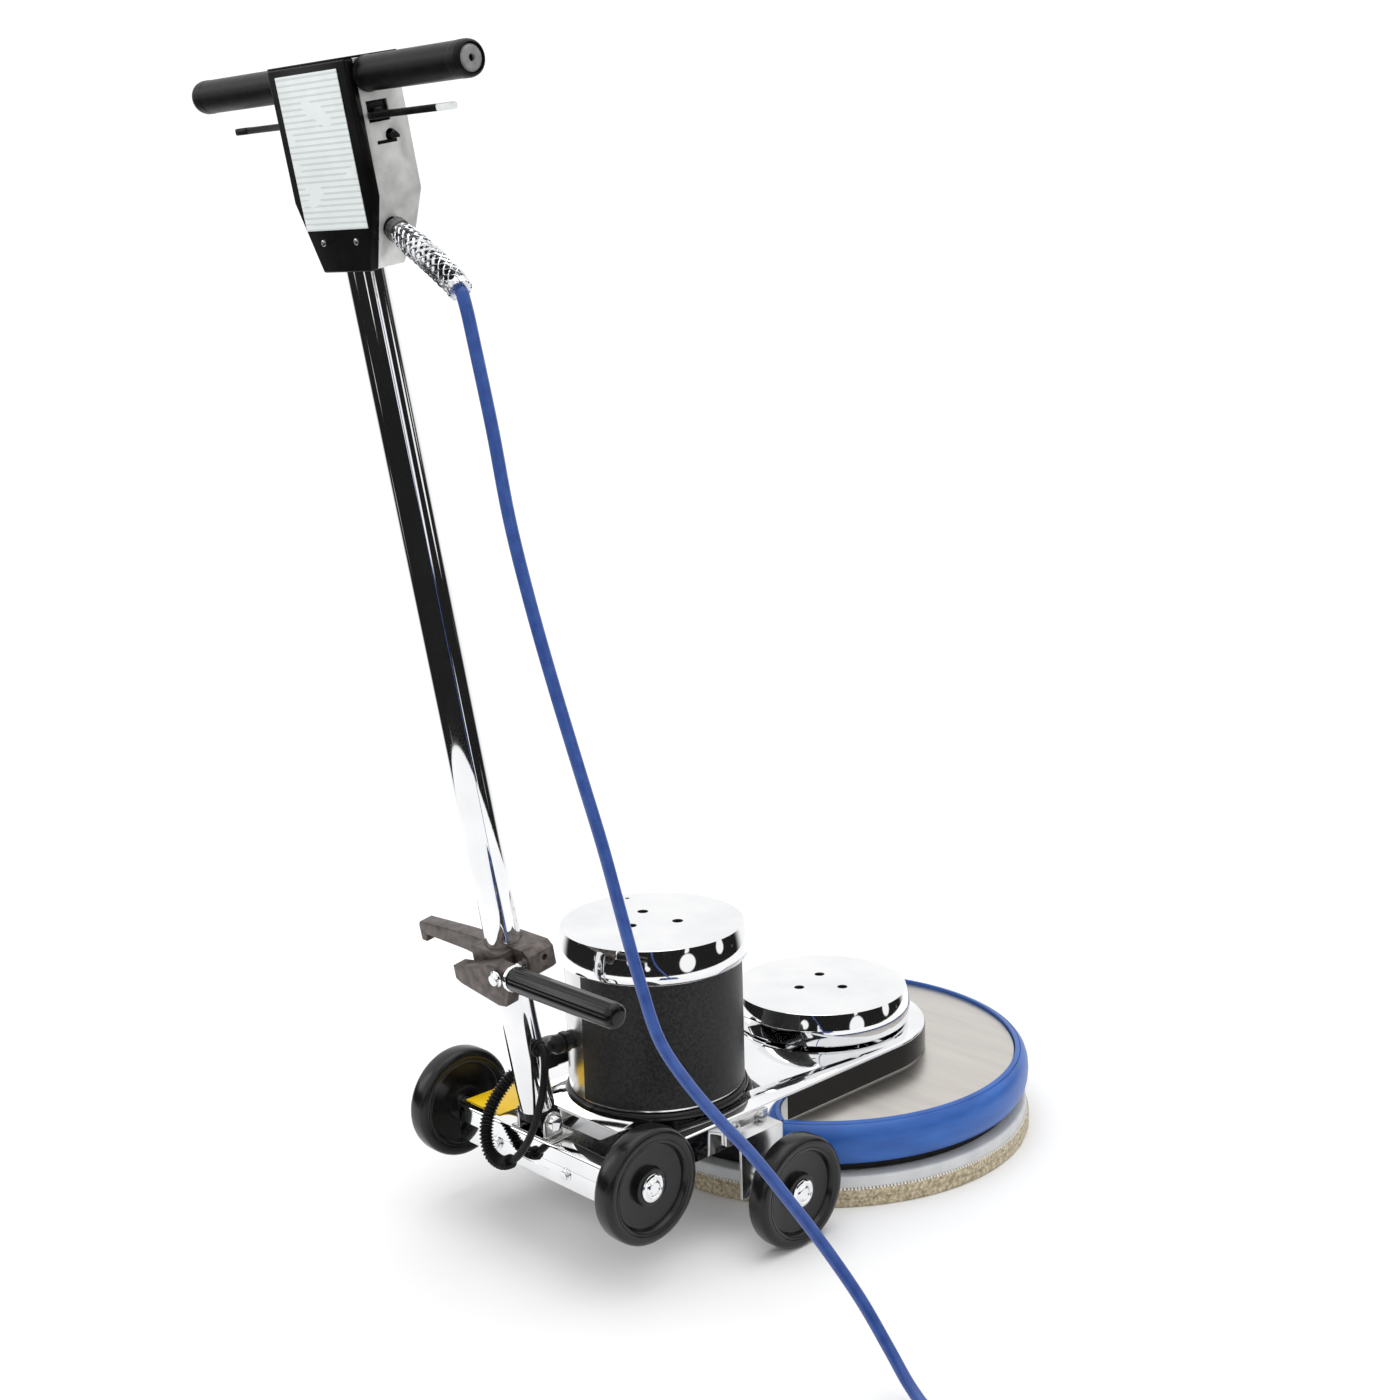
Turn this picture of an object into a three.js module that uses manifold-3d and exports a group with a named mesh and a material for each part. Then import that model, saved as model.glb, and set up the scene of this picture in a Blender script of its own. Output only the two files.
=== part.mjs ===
// High-speed floor burnisher: a round pad under a chromed deck, a belt drive and a tilting handle.
// Millimetres, +Z up, +Y the way it travels, +X the operator's right.
// The origin is on the floor, under the middle of the machine.
import * as THREE from 'three';
import { mergeVertices } from 'three/addons/utils/BufferGeometryUtils.js';
import Module from 'manifold-3d';

const wasm = await Module();
wasm.setup();

// ---------------------------------------------------------------- driving dimensions
const GAP = 0.3; // running gap between touching pieces

const SPINDLE_Y = 204; // pad and spindle axis
const MOTOR_Y = -71; // motor axis
const PAD_RADIUS = 254; // 20 inch floor pad
const PAD_THICKNESS = 21;
const SHROUD_RADIUS = 236;
const SHROUD_TOP = 94.7;

const DECK = { halfWidth: 127, top: 128, plate: 4, bottom: 95, rear: -257, rearBottom: 86 };

const MOTOR = { shellRadius: 100, shellTop: 284, capRadius: 108, capTop: 325 };
const SPINDLE_CAP = { radius: 109, bottom: 131, top: 173 };
const SPINDLE_RADIUS = 12.5;
const MOTOR_SHAFT_RADIUS = 9.5;

const MOTOR_PULLEY_RADIUS = 45;
const SPINDLE_PULLEY_RADIUS = 52; // pad turns at 45/52 of motor speed
const PULLEY = { bottom: 100, top: 118 };
const BELT = { bottom: 102, top: 116, thickness: 4 };

const WHEEL = { radius: 62.5, width: 26.5, bore: 8.4, hubRadius: 20 };
const REAR_AXLE = { y: -233, z: 115, face: 170 }; // face: the wheel's outer face from the middle
const SIDE_AXLE = { y: -61, z: 62.5, face: 218 };
const AXLE_RADIUS = 8;
const HUB_HEAD_RADIUS = 15.5;

const PIVOT = { y: -243.5, z: 146 };
const LEAN = THREE.MathUtils.degToRad(9.9); // the handle's stored angle, leaning back
const TUBE = { radius: 19.05, wall: 2, start: 13.3, end: 1060 }; // 1.5 inch tube
const HEAD = { bottom: 911, taper: 975, top: 1093, halfWidth: 60, footHalfWidth: 35.5, back: -11, front: 36 };
const COVER_FACE = -21.5; // the head cover's flat face, toward the operator
const CROSSBAR = { height: 1079, radius: 12.7, halfLength: 207 };
const GRIP = { radius: 15.8, inner: 60.6, outer: 213 };
const TRIGGER = { pivotX: 61, height: 1045, depth: 4, reach: 174 };
const BUTTON = { depth: 14.5, height: 1024.5 };
const GLAND = { x: 50, depth: 3, height: 946 };
const LEVER = { pivotX: 38, height: 198, depth: -34, sleeveStart: 58, sleeveEnd: 214 };

const LEAD_EXIT = 88; // where the motor lead leaves the tube, above the pivot
const LEAD_ENTRY = { x: -38, z: 200 };
// The motor lead's middle line: out of the tube's right side, round behind the deck and up to the motor.
const LEAD_ROUTE = [
  [22.9, -257, 236],
  [27, -257.2, 235.6],
  [34, -260, 226],
  [38, -266, 200],
  [34, -271, 172],
  [25, -274, 146],
  [10, -275, 122],
  [-8, -276, 104],
  [-28, -277, 95],
  [-46, -277, 100],
  [-56, -274, 118],
  [-59, -266, 140],
  [-57, -250, 162],
  [-52, -230, 180],
  [-44, -210, 193],
  [-38.2, -199, 198.8],
];

const CORD_RADIUS = 6;
const COIL = { x: 640, y: -380, innerRadius: 78, outerRadius: 138, height: 48 };

// The mains cord's middle line, from the end of the wire-mesh grip down to the floor and to its coil.
const CORD_ROUTE = [
  [159.4, -411.5, 1019.4],
  [162.2, -409, 1002],
  [163.5, -404.5, 976],
  [172, -395.5, 900],
  [180.5, -388, 820],
  [191, -378, 747],
  [204, -366.5, 673],
  [219, -352.5, 592],
  [233, -339, 516],
  [243.5, -330, 455],
  [257, -321, 387],
  [274, -313, 328],
  [301, -303.5, 290],
  [331, -293, 259],
  [359, -282, 232],
  [392, -265.5, 189],
  [417, -250.5, 151],
  [447, -230, 96],
  [471, -217.5, 49],
  [493, -215, 20],
  [518, -219.5, 7.5],
  [548, -226.5, 6.2],
  [608, -238.7, 6.2],
];

// ---------------------------------------------------------------- solids
/** A closed geometry with shared vertices and no flat triangles. */
function clean(geometry) {
  const source = geometry.index ? geometry.toNonIndexed() : geometry.clone();
  source.deleteAttribute('normal');
  source.deleteAttribute('uv');
  const merged = mergeVertices(source, 1e-3);
  const corners = merged.index.array;
  const kept = [];
  for (let i = 0; i < corners.length; i += 3) {
    const [a, b, c] = [corners[i], corners[i + 1], corners[i + 2]];
    if (a !== b && b !== c && c !== a) kept.push(a, b, c);
  }
  merged.setIndex(kept);
  return merged;
}

/** The solid of a closed geometry. */
function solid(geometry) {
  const shape = clean(geometry);
  return new wasm.Manifold(new wasm.Mesh({
    numProp: 3,
    vertProperties: new Float32Array(shape.attributes.position.array),
    triVerts: new Uint32Array(shape.index.array),
  }));
}

/** The geometry of a solid. */
function geometryOf(manifold) {
  const mesh = manifold.getMesh();
  const geometry = new THREE.BufferGeometry();
  geometry.setAttribute('position', new THREE.BufferAttribute(new Float32Array(mesh.vertProperties), 3));
  geometry.setIndex(Array.from(mesh.triVerts));
  return geometry;
}

/** Geometries joined into one, less the cuts. */
function shaped(parts, cuts = []) {
  let body = solid(parts[0]);
  for (const part of parts.slice(1)) body = body.add(solid(part));
  for (const cut of cuts) body = body.subtract(solid(cut));
  return geometryOf(body);
}

/** A box between two corners. */
function block([x0, y0, z0], [x1, y1, z1]) {
  const box = new THREE.BoxGeometry(x1 - x0, y1 - y0, z1 - z0);
  return box.translate((x0 + x1) / 2, (y0 + y1) / 2, (z0 + z1) / 2);
}

/** A profile of [radius, height] points turned about the Z axis. */
function turned(profile, segments = 24) {
  const points = profile.map(([radius, height]) => new THREE.Vector2(radius, height));
  return new THREE.LatheGeometry(points, segments).rotateX(Math.PI / 2);
}

/** A profile of [radius, x] points turned about the X axis. */
function turnedAlongX(profile, segments = 16) {
  const points = profile.map(([radius, x]) => new THREE.Vector2(radius, x));
  return new THREE.LatheGeometry(points, segments).rotateZ(-Math.PI / 2);
}

/** A round bar about Z from one height to another. */
function bar(radius, from, to, segments = 20) {
  return turned([[0, from], [radius, from], [radius, to], [0, to]], segments);
}

/** A round bar along X. */
function barAlongX(radius, from, to, segments = 16) {
  return turnedAlongX([[0, from], [radius, from], [radius, to], [0, to]], segments);
}

/** A round bar along Y. */
function barAlongY(radius, from, to, segments = 16) {
  return bar(radius, from, to, segments).rotateX(-Math.PI / 2);
}

/** A ring about Z. */
function ring(inner, outer, from, to, segments = 24) {
  return turned([[inner, from], [outer, from], [outer, to], [inner, to], [inner, from]], segments);
}

/** A ring along X. */
function ringAlongX(inner, outer, from, to, segments = 16) {
  return turnedAlongX([[inner, from], [outer, from], [outer, to], [inner, to], [inner, from]], segments);
}

/** An outline in the XY plane raised from one height to another. */
function raised(outline, from, to, curveSegments = 10) {
  const geometry = new THREE.ExtrudeGeometry(outline, { depth: to - from, bevelEnabled: false, curveSegments });
  return geometry.translate(0, 0, from);
}

/** An outline of [x, z] points drawn out along Y. */
function acrossY(points, from, to) {
  const outline = new THREE.Shape(points.map(([x, z]) => new THREE.Vector2(x, z)));
  return raised(outline, -to, -from).rotateX(Math.PI / 2);
}

/** An outline of [y, z] points drawn out along X. */
function acrossX(points, from, to) {
  const outline = new THREE.Shape(points.map(([y, z]) => new THREE.Vector2(y, z)));
  return raised(outline, from, to).rotateX(Math.PI / 2).rotateZ(Math.PI / 2);
}

/** A round tube of one radius along a smooth line through the points. */
function alongLine(points, radius, sides, steps) {
  const path = new THREE.CatmullRomCurve3(points.map((p) => new THREE.Vector3(...p)), false, 'centripetal');
  const section = new THREE.Shape();
  for (let i = 0; i < sides; i += 1) {
    const angle = (2 * Math.PI * i) / sides;
    const [x, y] = [radius * Math.cos(angle), radius * Math.sin(angle)];
    if (i === 0) section.moveTo(x, y);
    else section.lineTo(x, y);
  }
  return new THREE.ExtrudeGeometry(section, { extrudePath: path, steps, bevelEnabled: false });
}

// ---------------------------------------------------------------- materials and nodes
const FINISHES = {
  chrome: [0xd9dadc, 0.08, 1],
  steel: [0xc4bdb6, 0.35, 1],
  darkSteel: [0x5c5d60, 0.5, 0.9],
  bumper: [0x2f68b8, 0.45, 0],
  pad: [0xb5a88a, 0.95, 0],
  driver: [0xb9bcbd, 0.5, 0],
  blackMetal: [0x1b1b1d, 0.55, 0.3],
  blackRubber: [0x161616, 0.75, 0],
  blackPlastic: [0x17181a, 0.5, 0],
  casting: [0x6f6663, 0.55, 0.4],
  label: [0xdfe6e4, 0.45, 0],
  yellow: [0xf0b800, 0.5, 0],
  cord: [0x3558a0, 0.5, 0],
  mesh: [0xc9ccd0, 0.4, 0.8],
};

const machine = new THREE.Group();
const handle = new THREE.Group();
handle.position.set(0, PIVOT.y, PIVOT.z);
handle.rotation.x = LEAN;
machine.add(handle);

/** Adds one named piece to a group. */
function piece(name, geometry, finish, parent = machine, place = [0, 0, 0]) {
  const [color, roughness, metalness] = FINISHES[finish];
  const material = new THREE.MeshStandardMaterial({ color, roughness, metalness });
  const mesh = new THREE.Mesh(clean(geometry), material);
  mesh.name = name;
  mesh.position.set(...place);
  parent.add(mesh);
}

const SPINDLE_PLACE = [0, SPINDLE_Y, 0];
const MOTOR_PLACE = [0, MOTOR_Y, 0];

// ---------------------------------------------------------------- deck
/** The deck's outline: a straight channel with a round nose about the spindle, drawn in by an inset. */
function deckOutline(inset) {
  const half = DECK.halfWidth - inset;
  const outline = new THREE.Shape();
  outline.moveTo(-half, DECK.rear + inset);
  outline.lineTo(half, DECK.rear + inset);
  outline.lineTo(half, SPINDLE_Y);
  outline.absarc(0, SPINDLE_Y, half, 0, Math.PI, false);
  outline.lineTo(-half, DECK.rear + inset);
  return outline;
}

function addDeck() {
  const body = raised(deckOutline(0), DECK.bottom, DECK.top);
  const rearWall = block(
    [-DECK.halfWidth, DECK.rear, DECK.rearBottom],
    [DECK.halfWidth, DECK.rear + DECK.plate, DECK.bottom + 10],
  );
  const inside = raised(deckOutline(DECK.plate), DECK.bottom - 1, DECK.top - DECK.plate);
  const shaftHole = bar(26, DECK.bottom, DECK.top + 1).translate(...MOTOR_PLACE);
  const spindleHole = bar(30, DECK.bottom, DECK.top + 1).translate(...SPINDLE_PLACE);
  const axleHole = barAlongX(AXLE_RADIUS + GAP, -DECK.halfWidth - 1, DECK.halfWidth + 1)
    .translate(0, REAR_AXLE.y, REAR_AXLE.z);
  piece('deck_channel', shaped([body, rearWall], [inside, shaftHole, spindleHole, axleHole]), 'chrome');

  const plateBottom = DECK.top + GAP;
  piece('deck_label', block([-126, -247, plateBottom], [-66, -180, plateBottom + 0.8]), 'yellow');
}

function addShroud() {
  const top = SHROUD_TOP;
  const disc = turned([
    [44, top - 3], [SHROUD_RADIUS - 3, top - 3], [SHROUD_RADIUS - 3, 38], [SHROUD_RADIUS, 38],
    [SHROUD_RADIUS, top - 2], [SHROUD_RADIUS - 2, top], [44, top], [44, top - 3],
  ], 36);
  piece('shroud_disc', disc, 'steel', machine, SPINDLE_PLACE);

  const inner = SHROUD_RADIUS + GAP + 0.2;
  const section = [
    [inner, 50], [inner + 5, 48.5], [inner + 11, 51], [inner + 15, 61], [inner + 16, 76],
    [inner + 13, 90], [inner + 7, 97], [inner, 98], [inner, 50],
  ];
  const rearGap = block([-131, -300, 40], [131, 0, 105]);
  piece('bumper_ring', shaped([turned(section, 36)], [rearGap]), 'bumper', machine, SPINDLE_PLACE);
}

// ---------------------------------------------------------------- spindle, pad and belt
function addSpindle() {
  const deckTop = DECK.top + GAP;
  const bearingRadius = 26;
  const housing = turned([
    [bearingRadius + GAP, deckTop], [66, deckTop], [66, 140], [46, 144], [42, 163],
    [bearingRadius + GAP, 163], [bearingRadius + GAP, deckTop],
  ]);
  piece('spindle_housing', housing, 'steel', machine, SPINDLE_PLACE);
  const bearing = (from) => ring(SPINDLE_RADIUS + GAP, bearingRadius, from, from + 15, 16);
  piece('lower_bearing', bearing(deckTop + 1), 'darkSteel', machine, SPINDLE_PLACE);
  piece('upper_bearing', bearing(deckTop + 18), 'darkSteel', machine, SPINDLE_PLACE);

  piece('spindle_shaft', bar(SPINDLE_RADIUS, 48, 164), 'darkSteel', machine, SPINDLE_PLACE);
  const pulley = ring(SPINDLE_RADIUS + GAP, SPINDLE_PULLEY_RADIUS, PULLEY.bottom, PULLEY.top, 24);
  piece('spindle_pulley', pulley, 'darkSteel', machine, SPINDLE_PLACE);

  const driver = turned([
    [0, 34], [40, 34], [46, PAD_THICKNESS + GAP], [250, PAD_THICKNESS + GAP], [250, 33.5], [247, 35.7],
    [60, 40], [30, 47.7], [0, 47.7],
  ], 36);
  piece('pad_driver', driver, 'driver', machine, SPINDLE_PLACE);
  const retainer = turned([[0, 8], [30, 8], [44, 14], [44, 16], [36, 20], [36, 33.7], [0, 33.7]], 20);
  piece('pad_retainer', retainer, 'blackPlastic', machine, SPINDLE_PLACE);
  const pad = turned([
    [47, 0], [PAD_RADIUS - 2, 0], [PAD_RADIUS, 2], [PAD_RADIUS, PAD_THICKNESS - 1], [PAD_RADIUS - 1, PAD_THICKNESS],
    [47, PAD_THICKNESS], [47, 0],
  ], 36);
  piece('floor_pad', pad, 'pad', machine, SPINDLE_PLACE);
}

/** A belt's outline round both pulleys, at a distance from their rims. */
function beltOutline(offset) {
  const [motor, spindle] = [MOTOR_PULLEY_RADIUS + offset, SPINDLE_PULLEY_RADIUS + offset];
  const tilt = Math.asin((spindle - motor) / (SPINDLE_Y - MOTOR_Y));
  const outline = new THREE.Shape();
  outline.absarc(0, SPINDLE_Y, spindle, -tilt, Math.PI + tilt, false);
  outline.absarc(0, MOTOR_Y, motor, Math.PI + tilt, 2 * Math.PI - tilt, false);
  outline.closePath();
  return outline;
}

function addDrive() {
  const outer = beltOutline(GAP + 0.3 + BELT.thickness);
  const inner = raised(beltOutline(GAP + 0.3), BELT.bottom - 1, BELT.top + 1);
  piece('drive_belt', shaped([raised(outer, BELT.bottom, BELT.top)], [inner]), 'blackRubber');
  const pulley = ring(MOTOR_SHAFT_RADIUS + GAP, MOTOR_PULLEY_RADIUS, PULLEY.bottom, PULLEY.top, 24);
  piece('motor_pulley', pulley, 'darkSteel', machine, MOTOR_PLACE);
}

// ---------------------------------------------------------------- motor
/** A domed cap: a flat crown, a round shoulder and a rim that curls in. */
function capProfile(radius, bottom, top, shoulder) {
  const wall = 2;
  const outside = [[0, top], [radius * 0.5, top - 0.8], [radius - shoulder, top - 3]];
  for (const degrees of [55, 20]) {
    const angle = THREE.MathUtils.degToRad(degrees);
    outside.push([
      radius - shoulder + shoulder * Math.cos(angle),
      top - 3 - shoulder + shoulder * Math.sin(angle),
    ]);
  }
  outside.push([radius, bottom + 10], [radius - 3, bottom]);
  const inside = [
    [radius - 3 - wall, bottom], [radius - wall, bottom + 10], [radius - wall, top - 5 - shoulder],
    [radius - shoulder, top - 3 - wall - 1], [0, top - wall],
  ];
  return [...outside, ...inside].reverse();
}

/** The cap with three round holes in its crown. */
function cap(radius, bottom, top, shoulder, firstHole) {
  const holes = [0, 1, 2].map((i) => {
    const angle = THREE.MathUtils.degToRad(firstHole + 120 * i);
    return bar(6, top - 12, top + 5, 8).translate(30 * Math.cos(angle), 30 * Math.sin(angle), 0);
  });
  return shaped([turned(capProfile(radius, bottom, top, shoulder), 28)], holes);
}

function addMotor() {
  const { shellRadius, shellTop, capRadius, capTop } = MOTOR;
  const base = DECK.top + GAP;
  piece('motor_base_plate', ring(26, shellRadius + 4, base, base + 8, 32), 'darkSteel', machine, MOTOR_PLACE);
  const shellBottom = base + 8 + GAP;
  const shell = turned([
    [shellRadius - 4, shellBottom], [shellRadius, shellBottom], [shellRadius, shellTop],
    [30, shellTop], [30, shellTop - 4], [shellRadius - 4, shellTop - 4], [shellRadius - 4, shellBottom],
  ], 32);
  piece('motor_shell', shell, 'blackMetal', machine, MOTOR_PLACE);
  piece('motor_stator', ring(60, shellRadius - 5.5, 156, 252, 24), 'darkSteel', machine, MOTOR_PLACE);
  const rotor = turned([
    [0, 96], [MOTOR_SHAFT_RADIUS, 96], [MOTOR_SHAFT_RADIUS, 158], [58, 160], [58, 248],
    [MOTOR_SHAFT_RADIUS, 250], [MOTOR_SHAFT_RADIUS, 312], [0, 312],
  ], 20);
  piece('rotor', rotor, 'steel', machine, MOTOR_PLACE);

  const blades = [0, 1, 2, 3, 4, 5].map((i) => (
    block([16, -1.5, 290], [82, 1.5, 308]).rotateZ((i * Math.PI) / 3)
  ));
  const hub = ring(MOTOR_SHAFT_RADIUS + 2 * GAP, 24, 288, 310, 16);
  piece('cooling_fan', shaped([hub, ...blades]), 'blackPlastic', machine, MOTOR_PLACE);
  const crown = cap(capRadius, shellTop + GAP, capTop, 15, 30);
  piece('motor_cap', crown, 'chrome', machine, MOTOR_PLACE);
  const spindleCrown = cap(SPINDLE_CAP.radius, SPINDLE_CAP.bottom, SPINDLE_CAP.top, 17, 15);
  piece('spindle_cap', spindleCrown, 'chrome', machine, SPINDLE_PLACE);

  const fitting = shaped(
    [barAlongY(11, -196, -150, 16).translate(LEAD_ENTRY.x, 0, LEAD_ENTRY.z)],
    [bar(shellRadius + GAP, 150, 250, 32).translate(...MOTOR_PLACE)],
  );
  piece('lead_fitting', fitting, 'blackPlastic');
  const lead = alongLine(LEAD_ROUTE, 5, 8, 32);
  piece('motor_lead', lead, 'blackRubber');
}

// ---------------------------------------------------------------- wheels
/** A solid wheel with a dished face on both sides, about X, its outer face at x = 0 and its body inwards. */
function wheelShape() {
  const { radius, width, bore, hubRadius } = WHEEL;
  return turnedAlongX([
    [bore, 3 - width], [hubRadius, 3 - width], [hubRadius + 2, 8 - width], [46, 8 - width], [48, -width],
    [radius - 4, -width], [radius, -width + 4], [radius, -4], [radius - 4, 0], [48, 0], [46, -8],
    [hubRadius + 2, -8], [hubRadius, -3.2], [bore, -3.2], [bore, 3 - width],
  ], 20);
}

function addWheels() {
  for (const [side, name] of [[1, 'right'], [-1, 'left']]) {
    for (const [axle, prefix] of [[REAR_AXLE, 'rear_wheel'], [SIDE_AXLE, 'side_wheel']]) {
      const wheel = wheelShape().translate(axle.face, axle.y, axle.z);
      if (side < 0) wheel.rotateZ(Math.PI).translate(0, 2 * axle.y, 0);
      piece(`${prefix}_${name}`, wheel, 'blackRubber');
    }
  }
  const end = REAR_AXLE.face + 1;
  const head = end - 2.7;
  const axle = turnedAlongX([
    [0, -end], [10, -end], [HUB_HEAD_RADIUS, -head], [HUB_HEAD_RADIUS, -head + 1], [AXLE_RADIUS, -head + 1],
    [AXLE_RADIUS, head - 1], [HUB_HEAD_RADIUS, head - 1], [HUB_HEAD_RADIUS, head], [10, end], [0, end],
  ], 16);
  piece('rear_axle', axle, 'chrome', machine, [0, REAR_AXLE.y, REAR_AXLE.z]);
}

function addSideBrackets() {
  const deckSide = DECK.halfWidth + GAP;
  const reach = 154;
  const section = [
    [deckSide, 99], [deckSide + 4, 99], [deckSide + 4, 110], [reach - 4, 110], [reach - 4, 44],
    [reach, 44], [reach, 114], [deckSide + 4, 114], [deckSide + 4, 124], [deckSide, 124],
  ];
  for (const [side, name] of [[1, 'right'], [-1, 'left']]) {
    const { y, z, face } = SIDE_AXLE;
    const outline = side > 0 ? section : section.map(([x, height]) => [-x, height]).reverse();
    const hole = barAlongX(AXLE_RADIUS + GAP, 120, 170, 16).translate(0, y, z);
    if (side < 0) hole.rotateZ(Math.PI).translate(0, 2 * y, 0);
    piece(`side_bracket_${name}`, shaped([acrossY(outline, y - 30, y + 35)], [hole]), 'steel');
    const bolt = turnedAlongX([
      [0, 136], [14, 136], [14, reach - 4 - GAP], [AXLE_RADIUS, reach - 4 - GAP],
      [AXLE_RADIUS, reach + GAP], [13, reach + GAP], [13, face - WHEEL.width - 1],
      [AXLE_RADIUS, face - WHEEL.width - 1], [AXLE_RADIUS, face - 2.7],
      [HUB_HEAD_RADIUS, face - 2.7], [HUB_HEAD_RADIUS, face - 1.7], [10, face + 1], [0, face + 1],
    ], 16);
    if (side < 0) bolt.rotateZ(Math.PI);
    piece(`side_axle_${name}`, bolt, 'chrome', machine, [0, y, z]);
  }
}

// ---------------------------------------------------------------- handle
function addPivot() {
  const base = DECK.top + GAP;
  const earInner = 19.8;
  const earOuter = 24;
  const pinHole = barAlongX(6 + GAP, -40, 40).translate(0, PIVOT.y, PIVOT.z);
  const ear = (from, to) => [
    block([from, PIVOT.y - 12, base + 1], [to, PIVOT.y + 12, PIVOT.z]),
    barAlongX(12, from, to).translate(0, PIVOT.y, PIVOT.z),
  ];
  const foot = block([-34, PIVOT.y - 12.5, base], [34, PIVOT.y + 20, base + 3]);
  const clevis = shaped([foot, ...ear(-earOuter, -earInner), ...ear(earInner, earOuter)], [pinHole]);
  piece('handle_clevis', clevis, 'steel');
  const pin = turnedAlongX([
    [0, -30], [9, -30], [9, -earOuter - GAP], [6, -earOuter - GAP], [6, earOuter + GAP],
    [9, earOuter + GAP], [9, 30], [0, 30],
  ]);
  piece('pivot_pin', pin, 'chrome', machine, [0, PIVOT.y, PIVOT.z]);

  const body = [
    barAlongX(12.5, -19.4, 19.4, 20),
    block([-19.4, -12.5, 0], [19.4, 12.5, TUBE.start - GAP]),
    bar(TUBE.radius - TUBE.wall - GAP, 5, 60),
  ];
  piece('handle_foot', shaped(body, [barAlongX(6 + GAP, -25, 25)]), 'blackMetal', handle);
}

function addTube() {
  const { radius, wall, start, end } = TUBE;
  piece('handle_tube', ring(radius - wall, radius, start, end, 24), 'chrome', handle);
  const grommet = ringAlongX(5.4, 9, radius + GAP, radius + 3.5).translate(0, 2, LEAD_EXIT);
  piece('lead_grommet', grommet, 'blackRubber', handle);
}

function addClamp() {
  const arm = acrossY([
    [-24, 186], [-24, 211], [-60, 210], [-138, 205], [-141, 201], [-141, 182], [-132, 182], [-131, 191], [-60, 190],
  ].reverse(), -8, 8);
  const body = acrossY([
    [-27, 186], [-20, 183], [44, 182], [50, 187], [50, 208], [43, 214], [-20, 214], [-27, 209],
  ], -9, 25);
  const rear = acrossY([[-24, 194], [24, 194], [24, 212], [-24, 212]], -25, -8);
  const bore = bar(TUBE.radius + GAP, 170, 240, 24);
  const boltHole = barAlongY(5 + GAP, -30, 14).translate(LEVER.pivotX, 0, LEVER.height);
  const endHole = barAlongX(3.5, 44, 60, 12).translate(0, 12, 200);
  piece('clamp_casting', shaped([body, arm, rear], [bore, boltHole, endHole]), 'casting', handle);

  const bolt = turned([
    [0, -50], [9, -50], [9, -42.5], [5, -42.5], [5, 12], [0, 12],
  ], 16).rotateX(-Math.PI / 2).translate(LEVER.pivotX, 0, LEVER.height);
  piece('lever_bolt', bolt, 'chrome', handle);
}

function addLever() {
  const { pivotX, height, depth, sleeveStart, sleeveEnd } = LEVER;
  const plate = acrossY([
    [-38, height - 20], [-30, height - 24], [pivotX - 8, height - 34], [pivotX + 5, height - 32],
    [pivotX + 14, height - 12], [pivotX + 14, height + 11], [pivotX - 8, height + 13],
    [-20, height - 2], [-38, height - 5],
  ], -42, -26);
  const core = barAlongX(9, pivotX + 10, sleeveEnd - 8, 16).translate(0, depth, height);
  const hole = barAlongY(5 + GAP, -50, -20).translate(pivotX, 0, height);
  piece('lock_lever', shaped([plate, core], [hole]), 'casting', handle);
  const sleeve = turnedAlongX([
    [9 + GAP, sleeveStart], [13.2, sleeveStart], [13.6, sleeveStart + 3], [13.6, sleeveEnd - 3],
    [11.6, sleeveEnd], [0, sleeveEnd], [0, sleeveEnd - 8 + GAP], [9 + GAP, sleeveEnd - 8 + GAP],
    [9 + GAP, sleeveStart],
  ], 20).translate(0, depth, height);
  piece('lever_sleeve', sleeve, 'blackRubber', handle);
}

// ---------------------------------------------------------------- head
/** The head's front outline: straight sides that narrow below the taper. */
function headFront(halfWidth, footHalfWidth, bottom, top) {
  return [
    [-footHalfWidth, bottom], [footHalfWidth, bottom], [halfWidth, HEAD.taper], [halfWidth, top],
    [-halfWidth, top], [-halfWidth, HEAD.taper],
  ];
}

/** The head's side outline, from its back plane to its front. */
function headSide(back, front, bottom, top) {
  return [
    [back, bottom], [front - 17, bottom], [front - 5, bottom + 27], [front, HEAD.taper], [front, top], [back, top],
  ];
}

/** The solid shared by a front outline and a side outline. */
function headBlock(halfWidth, footHalfWidth, back, front, bottom, top) {
  const face = solid(acrossY(headFront(halfWidth, footHalfWidth, bottom, top), back, front));
  const side = solid(acrossX(headSide(back, front, bottom, top), -halfWidth, halfWidth));
  return geometryOf(face.intersect(side));
}

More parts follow.
